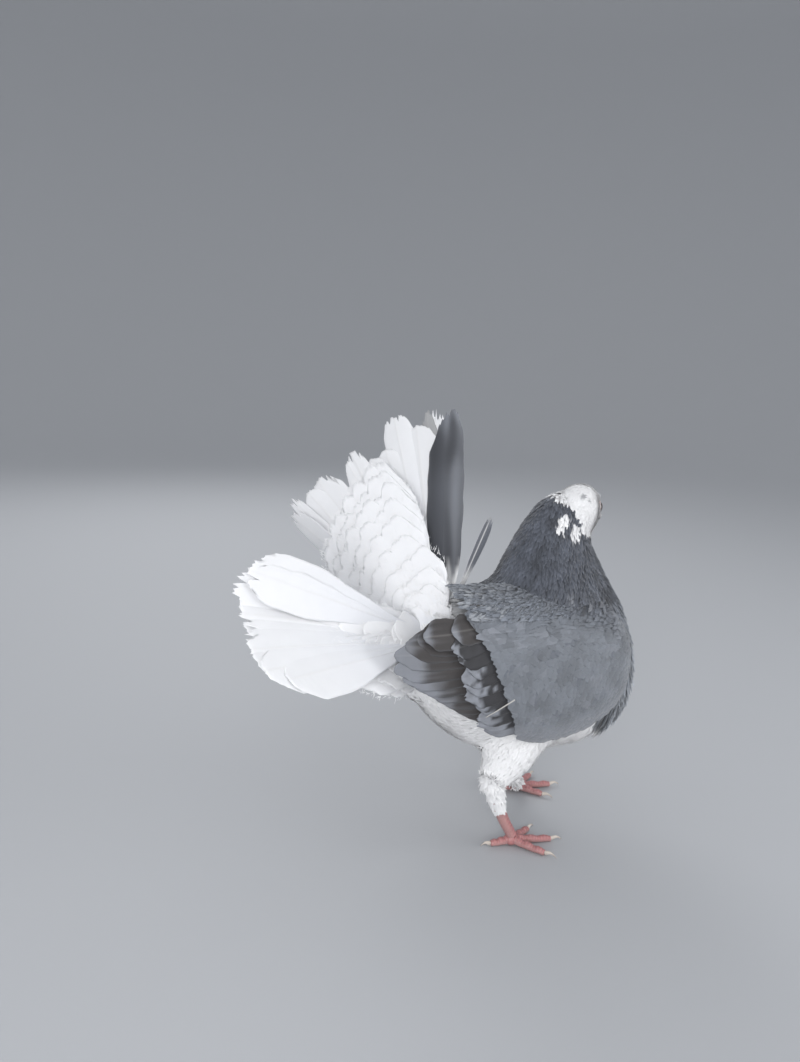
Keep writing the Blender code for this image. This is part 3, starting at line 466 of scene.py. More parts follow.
def form_distance(table, at, across, upright, power=2.0, start=None):
    """Distance to a form whose sections are superellipses, cut off square at both ends.

    The level is the root of the summed powers of the shares of half width and half height. Its
    value above 1 is divided by its own slope, and outside it is never less than half of that
    value times the form's radius there.
    """
    middle, tall, half = form_at(table, at)
    level = np.abs(across / half) ** power + np.abs((upright - middle) / tall) ** power
    level = level ** (1 / power)
    slope = np.sqrt(sum(g**2 for g in np.gradient(level, FIELD_STEP)))
    away = (level - 1) / np.maximum(slope, 1e-4)
    least = (level - 1) * np.minimum(half, tall) * 0.5
    away = np.where(level > 1, np.maximum(away, least), away)
    start = table[0, 0] if start is None else start
    return np.maximum(away, np.maximum(at - table[-1, 0], start - at))


def cone_distance(points, a, b, start_radius, end_radius):
    """Distance to the stretch from a to b, less a radius that changes evenly along it."""
    a, b = np.array(a, float), np.array(b, float)
    t = np.clip((points - a) @ (b - a) / ((b - a) @ (b - a)), 0, 1)
    away = np.linalg.norm(points - a - t[..., None] * (b - a), axis=-1)
    return away - start_radius - (end_radius - start_radius) * t


def thigh(side):
    """Path of a thigh, a line from hip to heel bulged by half a sine wave, and its radius."""
    top, heel = np.array(THIGH_TOP[side]), np.array(HEEL[side])
    t = np.linspace(0, 1, 9)[:, None]
    return top + (heel - top) * t + THIGH_BULGE * np.sin(math.pi * t), curve(THIGH_RADIUS, t[:, 0])


def thigh_distance(points, side):
    """Distance to the nearest stretch of the thigh's path, less its radius, cut at the heel."""
    path, radius = thigh(side)
    best = np.min([cone_distance(points, *stretch) for stretch in
                   zip(path[:-1], path[1:], radius[:-1], radius[1:])], axis=0)
    return np.maximum(best, (points - path[-1]) @ unit(path[-1] - path[-2]) - 0.8)


def make_field():
    """Distance and slope on a lattice: each form melted into the rest, rounded within a reach.

    The nearer distance is lowered by a quarter of the reach, times the square of how close the
    two distances are to each other.
    """
    axes = [low + FIELD_STEP * np.arange(n) for low, n in zip(FIELD_LOW, FIELD_SHAPE)]
    points = np.stack(np.meshgrid(*axes, indexing="ij"), -1)
    x, y, z = np.moveaxis(points, -1, 0)
    away = form_distance(NECK, z, y, x, start=NECK_FOOT)
    for other, reach in (
            (form_distance(HEAD, *np.moveaxis(to_head(points), -1, 0)), 9.0),
            (cone_distance(points, *NAPE), 6.0),
            (form_distance(TORSO, x, y, z, 2.15), 13.0),
            (cone_distance(points, *SADDLE), 9.0),
            (thigh_distance(points, "left"), 9.0), (thigh_distance(points, "right"), 9.0),
            (np.linalg.norm(points - TAIL_ROOT, axis=-1) - TAIL_CORE_RADIUS, 12.0),
            (cone_distance(points, *RUMP_ROD), 8.0)):
        near = np.clip(reach - np.abs(away - other), 0, None) / reach
        away = np.minimum(away, other) - near**2 * reach / 4
    away = np.clip(away, *FIELD_LIMITS)
    return np.stack([away, *np.gradient(away, FIELD_STEP)], -1).reshape(-1, 4)


FIELD = make_field()


def probe(points):
    """Distance and outward way at points, read between the eight nearest nodes of the field."""
    at = np.clip((points - FIELD_LOW) / FIELD_STEP, 0, np.array(FIELD_SHAPE) - 1.001)
    cell = at.astype(int)
    share = at - cell
    total = 0.0
    for corner in np.ndindex(2, 2, 2):
        weight = np.prod(np.where(corner, share, 1 - share), axis=-1)
        a, b, c = np.moveaxis(cell + corner, -1, 0)
        total = total + weight[..., None] * FIELD[(a * FIELD_SHAPE[1] + b) * FIELD_SHAPE[2] + c]
    return total[..., 0], unit(total[..., 1:])


def settle(points, level, rounds=3):
    """Points moved along the field's slope until they lie at the level."""
    for _ in range(rounds):
        away, out = probe(points)
        points = points - out * (away - level)[..., None]
    return points


# Markings: one function gives the colour of skin and of contour feathers at any point

def zone_shares(points):
    """Shares of head, neck, belly and thigh in the plumage at points; the rest is back and breast."""
    x, y, z = np.moveaxis(points, -1, 0)
    head = ease(22.5, 17.0, np.linalg.norm(to_head(points) * (0.92, 1, 1), axis=-1))
    neck = ease(150, 176, z) * (1 - head) * ease(-52, -30, x)
    leg = np.maximum(*(ease(3.0, -2.0, thigh_distance(points, side)) for side in SIDES))
    leg = leg * ease(96, 78, z)
    low = 102 + 4 * ripple(points, 30, 4) - 38 * ease(-5, 40, x)
    belly = np.maximum(ease(low + 6, low - 8, z), ease(-66, -78, x) * ease(128, 116, z))
    return head, neck, np.clip(belly - leg, 0, 1), leg


# Height, and x where the white of the face starts
WHITE_EDGE = np.array([(193, 42), (196, 30), (199, 21), (203, 14.5), (208, 14), (211.5, 12.8),
                       (215, 10.9), (217.6, 8), (219.7, 5.0), (221.0, -1.5), (224.6, -1.5),
                       (228, 1), (235, -3)], float)
WHITE_LOBES = [((3.5, 14.5, 210.0), (-0.8, 16.3, 203.5), 3.0),
               ((12.0, 18.0, 203.0), (10.5, 19.2, 198.8), 3.8)]
HEAD_SPOTS = [((18.2, -11.8, 225.0), 1.9), ((22.1, -13.4, 222.6), 1.2), ((19.0, 11.5, 224.0), 1.5)]


def white_of_head(points):
    """How white the face and crown are: ahead of a ragged edge, and in lobes behind it."""
    x, y, z = np.moveaxis(points, -1, 0)
    depth = np.where(z < WHITE_EDGE[0, 0], -9.0, x - np.interp(z, *WHITE_EDGE.T))
    for start, end, radius in WHITE_LOBES:
        lobe = cone_distance(stacked(x, np.abs(y), z), start, end, radius, radius)
        depth = np.maximum(depth, -lobe)
    white = ease(-0.5, 0.7, depth + 1.3 * ripple(points, 5.0, 8) + 0.7 * ripple(points, 2.4, 9))
    for spot, radius in HEAD_SPOTS:
        away = np.linalg.norm(points - np.array(spot), axis=-1) + 0.5 * ripple(points, 3.0, 10)
        white = white * (1 - 0.6 * ease(radius + 0.8, radius - 0.8, away))
    local = to_head(points)
    for side in (1, -1):
        fleck = np.linalg.norm((local - (2.5, side * 11.5, -2.6)) * (0.55, 0.7, 1.6), axis=-1)
        white = white * (1 - 0.75 * ease(1.7, 0.8, fleck + 0.4 * ripple(points, 2.0, 11)))
    return white


def markings(points):
    """Colour of the plumage: white head and belly, slate neck, mottled grey breast and back."""
    x, y, z = np.moveaxis(points, -1, 0)
    belly, leg = zone_shares(points)[2:]
    coarse, fine = ripple(points, 16, 1), ripple(points, 5, 2)
    back = ease(-18, 30, -x) * ease(140, 152, z)
    body = blend(MANTLE, SLATE, ease(135, 172, z) * ease(-52, -25, x))
    body = body * (1 + 0.22 * coarse + 0.12 * fine)[..., None]
    breast = ease(15, 42, x) * ease(158, 125, z)
    mottle = BLUE_GREY * (1.35 + 0.34 * coarse + 0.28 * fine)[..., None]
    body = blend(body, mottle, breast * 0.85)
    pale = ease(0.3, 1.1, ripple(points * (0.5, 1, 1), 6, 3)) * back * ease(168, 160, z) * 0.45
    pale = np.maximum(pale, ease(-56, -80, x + 7 * coarse))
    body = blend(body, WHITE * 0.9, pale)
    body = blend(body, WHITE, ease(0.35, 0.65, belly + leg + 0.12 * fine))
    return blend(body, WHITE, white_of_head(points))


def eye_reach(points):
    """Distance from the nearer eye's middle, along the side of the head."""
    x, y, z = np.moveaxis(to_head(points), -1, 0)
    return np.sqrt((x - EYE_PLACE[0])**2 + ((z - EYE_PLACE[2]) * 1.08)**2
                   + np.clip(5 - np.abs(y), 0, None)**2)


def lie(points):
    """The way that feathers point: away from the bill, down the neck, back, and along the tail."""
    x, y, z = np.moveaxis(points, -1, 0)
    head, neck, belly, leg = zone_shares(points)
    way = unit(blend(np.array([-1.0, 0, -0.42]), np.array([-0.6, 0, 0.8]), ease(-55, -86, x)))
    down = np.clip(np.maximum(neck, ease(8, 48, x) * ease(55, 75, z)), 0, 1)
    way = blend(way, unit([-0.30, 0, -1.0]), down)
    way = blend(way, unit(points - from_head((17, 0, -3))), np.clip(head * 1.4, 0, 1))
    for side, sign in SIDES.items():
        path = thigh(side)[0]
        way = blend(way, unit(path[-1] - path[3]), leg * ease(-4, 4, y * sign))
    return unit(way)


def unwrapped(points, middle=None):
    """Bake coordinates on an unwrap of the skin: round and along the torso, neck and each thigh.

    The turn about a form's middle line, as a share of a whole turn, gives the first, and the
    place along the form the second. Corners are given with the middle of their face: it says
    which form they belong to, and their turns stay within half a turn of its own.
    """
    x, y, z = np.moveaxis(points, -1, 0)
    neck_line = smooth(NECK[:, 0], NECK[:, 1:3].mean(1), z)
    at = points if middle is None else middle
    high = at[..., 2] > 158
    leg = (at[..., 2] < 78) & (at[..., 0] < 30)
    forms = [high, leg & (at[..., 1] > 0), leg]
    turn = np.select(forms, [np.arctan2(y, neck_line - x)]
                     + [np.arctan2(y - HEEL[side][1], x - HEEL[side][0] - 10) for side in SIDES],
                     np.arctan2(y, form_at(TORSO, x)[0] - z)) / (2 * math.pi)
    if middle is not None:
        turn = turn - np.round(turn - unwrapped(middle)[..., 2])
    u = np.select(forms, [0.76 + 0.42 * turn, 0.63 + 0.2 * turn, 0.87 + 0.2 * turn],
                  0.25 + 0.44 * turn)
    v = np.select([high, leg], [0.44 + (z - 155) / 155, 0.04 + (z - 40) / 125],
                  0.03 + (x + 100) / 185)
    return stacked(u, v, turn)


# Skin

def body_rings():
    """Closed tubes for torso, neck, head, thighs and tail root, which the skin is drawn over.

    Torso, neck and head are ellipses by their tables, and the root of the tail is a ball.
    """
    c, s = np.cos(circle(32)), np.sin(circle(32))
    x = np.linspace(TORSO[0, 0], TORSO[-1, 0], 24)[:, None]
    middle, tall, half = form_at(TORSO, x)
    shapes = [tube(stacked(x, half * c, middle + tall * s))]
    z = np.linspace(NECK[0, 0], NECK[-2, 0], 20)[:, None]
    middle, tall, half = form_at(NECK, z)
    shapes.append(tube(stacked(middle + tall * c, half * s, z)))
    x = np.linspace(HEAD[1, 0], HEAD[-2, 0], 16)[:, None]
    middle, tall, half = form_at(HEAD, x)
    shapes.append(tube(from_head(stacked(x, half * c, middle + tall * s))))
    shapes += [tube(pipe(*thigh(side), 32)) for side in SIDES]
    fall = np.linspace(0.1, math.pi - 0.1, 12)[:, None]
    round_root = stacked(np.cos(fall), np.sin(fall) * c, np.sin(fall) * s)
    shapes.append(tube(TAIL_ROOT + TAIL_CORE_RADIUS * round_root))
    for a, b, first, last in (RUMP_ROD, SADDLE):
        path = np.linspace(a, b, 8)
        end = 2 * path[-1] - path[-3] if a is TAIL_ROOT else None
        shapes.append(tube(pipe(path, np.linspace(first, last, 8), 32), end=end))
    return joined(shapes)


def remeshed(bundle, voxel):
    """The outside of overlapping closed shapes as one even mesh, as points and quads."""
    thing = piece("rough body", bundle, skin_finish, "white_feathers")
    change = thing.modifiers.new("even mesh", "REMESH")
    change.mode = "VOXEL"
    change.voxel_size = voxel * MM
    result = thing.evaluated_get(bpy.context.evaluated_depsgraph_get()).to_mesh()
    points = np.zeros(len(result.vertices) * 3)
    result.vertices.foreach_get("co", points)
    corners = np.zeros(len(result.loops), int)
    result.loops.foreach_get("vertex_index", corners)
    bpy.data.objects.remove(thing, do_unlink=True)
    return points.reshape(-1, 3) / MM + ORIGIN, corners.reshape(-1, 4)


def coat_depth(points):
    """How far the skin lies under the outer surface of the plumage: a sum over the zones."""
    head, neck, belly, leg = zone_shares(points)
    return 2.6 - 1.7 * head - 0.7 * neck + 0.4 * belly - 0.8 * leg


skin_points, skin_quads = remeshed(body_rings(), 1.7)
skin_points = settle(skin_points, 0.0, 4)
skin_points = settle(skin_points, -coat_depth(skin_points), 3)
skin_tint = blend(markings(skin_points) * 0.95, BARE_SKIN, ease(6.6, 5.6, eye_reach(skin_points)))
skin = piece("skin", part(skin_points, skin_quads, skin_tint, bake=unwrapped(skin_points)[:, :2]),
             skin_finish, "white_feathers", "torso", "neck", "head", "thigh_left", "thigh_right")
seam_corners = skin_points[skin_quads]
seam_uv = unwrapped(seam_corners, np.repeat(seam_corners.mean(1, keepdims=True), 4, 1))[..., :2]
if len(skin.data.polygons) == len(skin_quads):
    skin.data.uv_layers["OFBake"].data.foreach_set("uv", seam_uv.astype(np.float32).ravel())


# Contour feathers

def scatter(spacing, seed, wanted):
    """Roots on the skin: random points, of which each cell of a lattice keeps one."""
    draw = np.random.default_rng(seed)
    a, b, c, d = np.moveaxis(skin_points[skin_quads], 1, 0)
    area = (np.linalg.norm(np.cross(b - a, c - a), axis=1)
            + np.linalg.norm(np.cross(c - a, d - a), axis=1)) / 2
    allowed = area * (wanted((a + c) / 2) > 0)
    count = int(9 * allowed.sum() / spacing**2)
    pick = draw.choice(len(area), count, p=allowed / allowed.sum())
    u, v = draw.random((2, count, 1))
    roots = (a[pick] * (1 - u) + b[pick] * u) * (1 - v) + (d[pick] * (1 - u) + c[pick] * u) * v
    _, first = np.unique(np.floor(roots / spacing).astype(int), axis=0, return_index=True)
    roots = roots[np.sort(first)]
    return roots[draw.random(len(roots)) < wanted(roots)]


def plumage(roots, length, width, rise, seed, rows=5, columns=5, jag=0.12, stray=0.14, sink=0.9,
            camber=0.10, shade=(0.86, 1.05), vary=0.07, tint=None, way=lie):
    """Small feathers that start in the skin and follow the body's surface along the lie.

    Each shaft is stepped along the surface and held at a height that rises from the skin to the
    outside of the coat. The vane is arched across by the square of the distance from the shaft.
    """
    draw = np.random.default_rng(seed)
    count = len(roots)
    length = length * draw.uniform(0.85, 1.15, count)
    width = width * draw.uniform(0.85, 1.15, count)
    rise = rise + draw.uniform(-0.25, 0.35, count)
    turn = draw.normal(0, stray, count)[:, None]
    depth = coat_depth(roots) * sink
    at = roots
    steps = []
    for row in range(rows):
        away, out = probe(at)
        at = at - out * (away + depth - (depth + rise) * (row / (rows - 1))**0.8)[:, None]
        heading = way(at)
        heading = unit(heading - out * dot(heading, out)[:, None])
        heading = heading * np.cos(turn) + np.cross(out, heading) * np.sin(turn)
        steps.append((at, np.cross(out, heading), out))
        at = at + heading * (length / (rows - 1))[:, None]
    centre, sideways, outward = (np.stack(v, 1) for v in zip(*steps))
    ahead = unit(np.gradient(centre, axis=1))
    s, u, along, across = vane_grid(draw, length, width, rows, columns, 0.45, 0.55, 0.24, jag)
    back = s * length[:, None, None] - along
    points = (centre[:, :, None] + sideways[:, :, None] * across[..., None]
              - ahead[:, :, None] * back[..., None]
              - outward[:, :, None] * (camber * width[:, None, None] * u**2)[..., None])
    shown = markings(centre[:, 2 * rows // 3]) if tint is None else tint
    colour = (shown * (1 + draw.normal(0, vary, count))[:, None])[:, None, None]
    # shade runs from a feather's root to its tip. It is painted shade: darker at the root, where the
    # feather lies under the others, and a little lighter at the tip.
    return tufts(points, s, u, along, across, colour * np.interp(s, [0, 1], shade)[..., None],
                 unwrapped(roots)[:, :2])


def face_zone(points):
    """1 on the face, clear of the bill and of the eye."""
    clear = ease(16.5, 15.2, to_head(points)[..., 0]) * ease(5.4, 5.9, eye_reach(points))
    return (zone_shares(points)[0] > 0.35) * clear


def neck_zone(points):
    """1 on the neck, above the breast and ahead of the back."""
    return (zone_shares(points)[0] <= 0.4) * (points[..., 2] > 158) * (points[..., 0] > -38)


def rump_zone(points):
    """1 on the fleshy root of the tail and of the undertail coverts."""
    near = cone_distance(points, TAIL_ROOT, COVERT_ROOT, 24.0, 20.0) < 0
    return (near & (points[..., 0] < TAIL_ROOT[0] + 3)) * 1.0


def up_the_tail(points):
    """The way of the feathers round the tail's root: up, and a little back."""
    return np.broadcast_to(unit([-0.45, 0.10, 1.0]), points.shape)


def back_zone(points):
    """1 on back and breast, clear of belly, rump and of what the folded wings hide."""
    x, y, z = np.moveaxis(points, -1, 0)
    belly, leg = zone_shares(points)[2:]
    low = np.interp(x, *np.array(WING_LOW[::-1], float).T)
    hidden = (np.abs(y) > 34) & (x < 36) & (x > -70) & (z > low + 9) & (z < 150)
    upper = ((z <= 160) | (x < -36)) & (belly + leg < 0.5) & (rump_zone(points) == 0)
    return (upper & ~hidden) * 1.0


def belly_zone(points):
    """1 on the belly, clear of the thighs and the rump."""
    belly, leg = zone_shares(points)[2:]
    return ((belly >= 0.4) & (leg < 0.5) & (rump_zone(points) == 0)) * 1.0


def thigh_zone(side):
    """Zone function of one thigh."""
    return lambda points: ((zone_shares(points)[3] >= 0.4)
                           & (points[..., 1] * SIDES[side] > 0)) * 1.0


DOWNY = dict(jag=0.24, stray=0.12, vary=0.02, shade=(0.98, 1.02), sink=0.7, camber=0.06)
roots = scatter(0.9, 21, face_zone)
grow = ease(14, -16, to_head(roots)[:, 0])
brow = ease(9.5, 6.5, eye_reach(roots))
piece("plumage_face", plumage(roots, 1.9 + 2.6 * grow, 0.9 + 0.8 * grow, 0.9 * brow, 22, rows=4,
                              vary=0.02, stray=0.09, sink=0.6, shade=(0.93, 1.03)),
      contour_finish, "white_feathers")
roots = scatter(1.75, 23, neck_zone)
foot = ease(176, 160, roots[:, 2]) * ease(30, 5, roots[:, 0])
lap = foot * ease(8, 22, np.abs(roots[:, 1]))
piece("plumage_neck", plumage(roots, 7.0 + 5 * foot, 2.3 + 1.2 * foot, 0.25 + 3.2 * lap, 24, rows=6,
                              vary=0.10, jag=0.22), contour_finish, "slate_feathers")
roots = scatter(2.6, 25, back_zone)
x, y, z = roots[:, 0], np.abs(roots[:, 1]), roots[:, 2]
over_wing = ease(24, 34, y) * ease(30, 38, x) * ease(56, 46, x)
over_back = ease(18, 28, y) * ease(146, 152, z) * ease(36, 24, x)
fluffed = np.maximum(over_back, ease(-38, -56, x) * ease(136, 146, z))
piece("plumage_back_and_breast",
      plumage(roots, 11.0 + 6 * over_wing + 6 * fluffed, 5.0, 0.35 + 4.0 * over_wing + 5.0 * fluffed,
              26, rows=6, columns=6, vary=0.09, jag=0.20), contour_finish, "grey_feathers")
piece("plumage_belly", plumage(scatter(1.75, 27, belly_zone), 11.0, 3.4, 0.8, 28, **DOWNY),
      fluff_finish, "white_feathers")
piece("plumage_rump", plumage(scatter(2.3, 33, rump_zone), 15.0, 4.6, 1.6, 34, rows=7, jag=0.24,
                              stray=0.2, vary=0.02, shade=(0.96, 1.02), tint=WHITE,
                              way=up_the_tail), fluff_finish, "white_feathers")
for side, sign in SIDES.items():
    roots = scatter(1.55, 29 + sign, thigh_zone(side))
    piece("plumage_thigh_" + side, plumage(roots, 9.0, 2.8, 0.6, 31 + sign, **DOWNY),
          fluff_finish, "white_feathers")



# Large feathers

def cell_map(cell, across, along):
    """Bake coordinates in one cell of a map of 16 by 6, at shares across and along a feather."""
    return stacked((cell % 16 + 0.5 + 0.42 * across) / 16, (cell // 16 + 0.06 + 0.88 * along) / 6)


def wedges(at, entries):
    """Sum of wedges, each with a middle, a half width and a depth."""
    return sum(depth * np.clip(1 - np.abs(at - middle) / half, 0, None)
               for middle, half, depth in entries)


def large_feather(place, half, outline, colour, draw, cell, rows=30, columns=23, round_tip=0.06,
                  notches=(), fray=0.012, splits=(), camber=0.10, lean=0.0, shaft=0.45,
                  thickness=0.30, quill=0.5, ragged=0.03):
    """One closed vane with its shaft as a ridge.

    place turns a share of the length, a distance across and a height into points. The columns
    crowd at the shaft. The tip is cut back by a power of the distance across, by notches, each
    at a share across with a width and a depth, and by fray. Splits pull the edge in at a share
    of the length. colour gives the tint at shares along and across.
    """
    s = (1 - (1 - np.linspace(0, 1, rows)) ** 1.25)[:, None]
    wide = np.linspace(0.10, 1, (columns - 3) // 2)
    u = np.concatenate([-wide[::-1], [-0.035, 0, 0.035], wide])
    off = np.abs(u)
    cut = round_tip * off**2.4 + lean * u + fray * draw.random(len(u)) + wedges(u, notches)
    along = s - cut * s**5
    profile = curve(outline, s)
    pull = 1 - wedges(s, splits) * ease(0.45, 1.0, off)
    wave = 1 + 0.02 * np.sin(s * draw.uniform(20, 40) + draw.uniform(0, 6)) * u**2
    wave = wave - ragged * draw.random((rows, len(u))) * off**6
    across = u * profile * half * pull * wave
    arch = -camber * half * u**2 * profile
    ridge = shaft * np.exp(-(u / 0.045) ** 2) * (1.05 - 0.85 * s)
    thick = thickness / 2 * (1 - 0.55 * off)
    points, quads = two_sided(place(along, across, arch + thick + ridge),
                              place(along, across, arch - thick - ridge))
    tint = blend(colour(along, u), QUILL, np.exp(-(u / 0.05) ** 2) * quill)
    base, tip = place(np.array([0.0, 1.0]), 0.0, 0.0)
    vane = stacked(across, along * np.linalg.norm(tip - base)) * VANE_SCALE
    return part(points, quads, tint, vane, cell_map(cell, u, along))


TAIL_VANE = [(0.0, 0.05), (0.25, 0.26), (0.5, 0.66), (0.76, 1.0), (0.92, 0.96), (1.0, 0.72)]
DARK_VANE = [(0.0, 0.10), (0.12, 0.45), (0.3, 0.88), (0.6, 1.0), (0.88, 0.92), (1.0, 0.6)]
WING_VANE = [(0.0, 0.30), (0.4, 0.85), (0.75, 1.0), (0.93, 0.84), (1.0, 0.55)]
COVERT_VANE = [(0.0, 0.20), (0.35, 0.66), (0.72, 1.0), (0.93, 0.86), (1.0, 0.6)]
LEFT_FAN = [(73, 116), (28, 61)]
RIGHT_FAN = [(24, -12), (18, -12), (11, -20), (6, -29)]

# Tail feathers: place along the fan, length, width, louver in degrees, lift off the fan, tip
LEFT_TAIL = [(0.075, 148, 17, -14, 0.8, "frayed"), (0.125, 149, 17, -14, 0.2, "grey"),
             (0.190, 139, 36, -6, 1.2, "round"), (0.300, 150, 25, -6, 0.5, "square"),
             (0.385, 131, 27, -6, 0.0, "round"), (0.470, 130, 26, -6, 0.3, "round"),
             (0.560, 142, 19, -6, 0.5, "notched"), (0.600, 137, 17, -6, 0.0, "round"),
             (0.690, 122, 24, -6, 0.2, "round"), (0.790, 142, 29, -6, 0.3, "split"),
             (0.875, 142, 27, -6, 0.0, "round"), (0.985, 150, 14, -18, 0.4, "frayed"),
             (1.050, 141, 24, -40, 0.0, "notched")]
RIGHT_TAIL = [(-0.04, 147, 30, -6, 0.0, "notched"), (0.161, 152, 31, -6, 0.4, "frayed"),
              (0.314, 146, 32, -6, 0.0, "round"), (0.44, 146, 32, -6, 0.4, "notched"),
              (0.567, 146, 34, -6, 0.0, "frayed"), (0.697, 148, 34, -6, 0.4, "notched"),
              (0.80, 148, 34, -6, 0.0, "round"), (0.886, 148, 34, -6, 0.4, "round"),
              (0.99, 139, 32, -6, 0.0, "round")]
TIPS = {"round": dict(round_tip=0.075, fray=0.012),
        "square": dict(round_tip=0.02, fray=0.015, notches=[(-0.3, 0.10, 0.035), (0.45, 0.08, 0.05)]),
        "notched": dict(round_tip=0.055, fray=0.02, notches=[(0.30, 0.10, 0.06), (-0.62, 0.1, 0.04)],
                        splits=[(0.93, 0.02, 0.10)]),
        "split": dict(round_tip=0.05, fray=0.02, notches=[(-0.55, 0.07, 0.11), (-0.8, 0.08, 0.06)]),
        "frayed": dict(round_tip=0.04, fray=0.055, notches=[(-0.2, 0.16, 0.04)]),
        "grey": dict(round_tip=0.10, fray=0.02, notches=[(0.5, 0.16, 0.04)])}


def fan_way(controls, share):
    """Way of a feather at a share of the fan, which may lie a little beyond its ends."""
    ends = direction(*np.array(controls, float).T)
    at = np.clip(share, 0, 1) * (len(controls) - 1)
    way = np.stack([smooth(range(len(controls)), ends[:, k], at) for k in range(3)], -1)
    beyond = share - np.clip(share, 0, 1)
    edge = ends[-1] - ends[-2] if share > 0.5 else ends[1] - ends[0]
    return unit(way + edge * beyond * (len(controls) - 1))


def fan_frame(controls, share):
    """Way, direction across to the next feather, and inner face of a feather of the fan."""
    way = fan_way(controls, share)
    across = fan_way(controls, share + 0.03) - fan_way(controls, share - 0.03)
    across = unit(across - way * (across @ way))
    normal = np.cross(way, across)
    return way, across, normal * np.sign(normal @ direction(*COVERT_WAY))


def straight(root, tip, across, normal, louver, bend=0.0, dip=0.0):
    """Place function of a straight feather whose vane is turned by the louver, in degrees.

    It bends towards its face by the square of the share, and its very tip dips back.
    """
    c, s = math.cos(math.radians(louver)), math.sin(math.radians(louver))
    side, face = across * c + normal * s, normal * c - across * s

    def place(share, sideways, height):
        share, sideways, height = np.broadcast_arrays(share, sideways, height)
        curl = bend * share**2 - dip * share**10
        return (root + (tip - root) * share[..., None] + side * sideways[..., None]
                + face * (height + curl)[..., None])
    return place


def white_vane(tone):
    """Tint of a white feather: even, with painted shade towards its covered base, a little cooler and
    duller.
    """
    base = WHITE * tone * (0.985, 0.99, 1.0)
    return lambda along, across: blend(base * (0.94, 0.95, 0.98), base, ease(0.2, 0.9, along))


def dark_tail_vane(along, across):
    """Slate feather, pale at its base, with a greyer streaked half and a grey tip."""
    points = stacked(along * 90, across * 9, 0)
    streak = ripple(points * (0.12, 1.6, 1), 6, 40)
    cloud = ripple(points * (0.6, 0.5, 1), 22, 41)
    slate = TAIL_SLATE * (1 + 0.12 * streak + 0.22 * cloud)[..., None]
    grey = PALE_TIP * (0.62 + 0.16 * streak)[..., None]
    slate = blend(slate, grey, ease(0.35, -0.6, across) * ease(-1.6, 0.6, streak + cloud))
    slate = blend(slate, PALE_TIP, ease(0.90, 1.0, along + 0.03 * streak) * 0.7)
    return blend(WHITE * 0.9, slate, ease(0.17, 0.25, along + 0.05 * streak + 0.04 * across))


def tail_feather(controls, entry, cell, dullest):
    """One white feather of the fan from its entry in the table, a little out of true."""
    share, length, width, louver, lift, tip = entry
    way, across, normal = fan_frame(controls, share)
    reach = TAIL_ROOT + way * (length + draw.uniform(-1, 1)) + normal * lift
    place = straight(TAIL_ROOT + way * 8, reach, across, normal, louver + draw.uniform(-1.5, 1.5))
    # One feather of the left fan is white but painted at a dull grey tone all over. This is painted
    # shade, as it lies in shadow behind its neighbour.
    tone = 0.45 if tip == "grey" else draw.uniform(dullest, 1.0)
    return large_feather(place, width / 2, TAIL_VANE, white_vane(tone), draw, cell, quill=0.15,
                         **TIPS[tip])


draw = np.random.default_rng(12)
way, across, normal = fan_frame(LEFT_FAN, -0.012)
way = unit(way + normal * math.sin(math.radians(3.5)))
place = straight(TAIL_ROOT + way * 8, TAIL_ROOT + way * 143, across, normal, -8)
left_tail = [large_feather(place, 13.4, DARK_VANE, dark_tail_vane, draw, 0, round_tip=0.05,
                           lean=0.055, fray=0.02, quill=0.0, shaft=0.2,
                           notches=[(0.15, 0.10, 0.03), (-0.30, 0.08, 0.03)])]
left_tail += [tail_feather(LEFT_FAN, entry, i + 1, 0.94) for i, entry in enumerate(LEFT_TAIL)]
stray_way = direction(68, -174)
stray_across = np.array([0.83, 0.55, 0.0])
stray_across = unit(stray_across - stray_way * (stray_across @ stray_way))


def stray_vane(along, across):
    """Short loose feather: dark web with a white base, its shaft white."""
    dark = ease(0.42, 0.6, along) * ease(0.05, 0.18, np.abs(across))
    tipped = ease(0.90, 0.97, along)
    return blend(blend(WHITE * 0.9, SLATE * 1.4, dark), PALE_TIP, tipped)


stray_root = TAIL_ROOT + np.array([0.0, 3.0, 0.0])
left_tail.append(large_feather(straight(stray_root + stray_way * 8, stray_root + stray_way * 83,
                                        stray_across, np.cross(stray_way, stray_across), 0.0),
                               8.0, TAIL_VANE, stray_vane, draw, 15, round_tip=0.02, fray=0.06))
piece("tail_fan_left_feathers", joined(left_tail), white_finish, "white_feathers", "tail_fan_left")

right_tail = [tail_feather(RIGHT_FAN, entry, 16 + i, 0.95) for i, entry in enumerate(RIGHT_TAIL)]
piece("tail_fan_right_feathers", joined(right_tail), white_finish, "white_feathers",
      "tail_fan_right")

# Undertail coverts: from the top of the fan to its low left side
COVERT_FAN = [(70, 108), (64, 88), (40, 62), (16, 52)]
COVERT_LENGTHS = [88, 126, 128, 120, 108, 95, 84]
COVERT_TIERS = [(12, 1.0, 9.6, 32), (12, 0.93, 10.2, 32), (12, 0.85, 10.9, 32), (12, 0.76, 11.6, 32),
                (12, 0.66, 12.4, 31), (11, 0.55, 13.2, 30), (11, 0.44, 14.1, 28), (10, 0.34, 15.0, 26),
                (9, 0.26, 16.0, 24)]      # feathers, share of the length, lift, width
FAN_START = 0.44                          # share of the fan that the long coverts leave bare
RIGHT_COVERTS = [(20, -9, 92), (17, -12, 98), (14, -14, 100), (12, -16, 102), (10, -19, 102),
                 (9, -22, 100), (8, -24, 96), (6, -27, 90), (4, -29, 80),
                 (1, -30, 66)]            # elevation, swing, length
SOFT_TIP = 0.17


def soft_covert(place, width, cell):
    """White feather without a stiff shaft, its tip rounded and its edges frayed."""
    return large_feather(place, width / 2, COVERT_VANE, white_vane(draw.uniform(0.985, 1.0)), draw,
                         cell % 96, rows=16, columns=17, round_tip=SOFT_TIP, fray=0.02, shaft=0.0,
                         camber=0.055, thickness=0.06, quill=0.0, ragged=0.03)


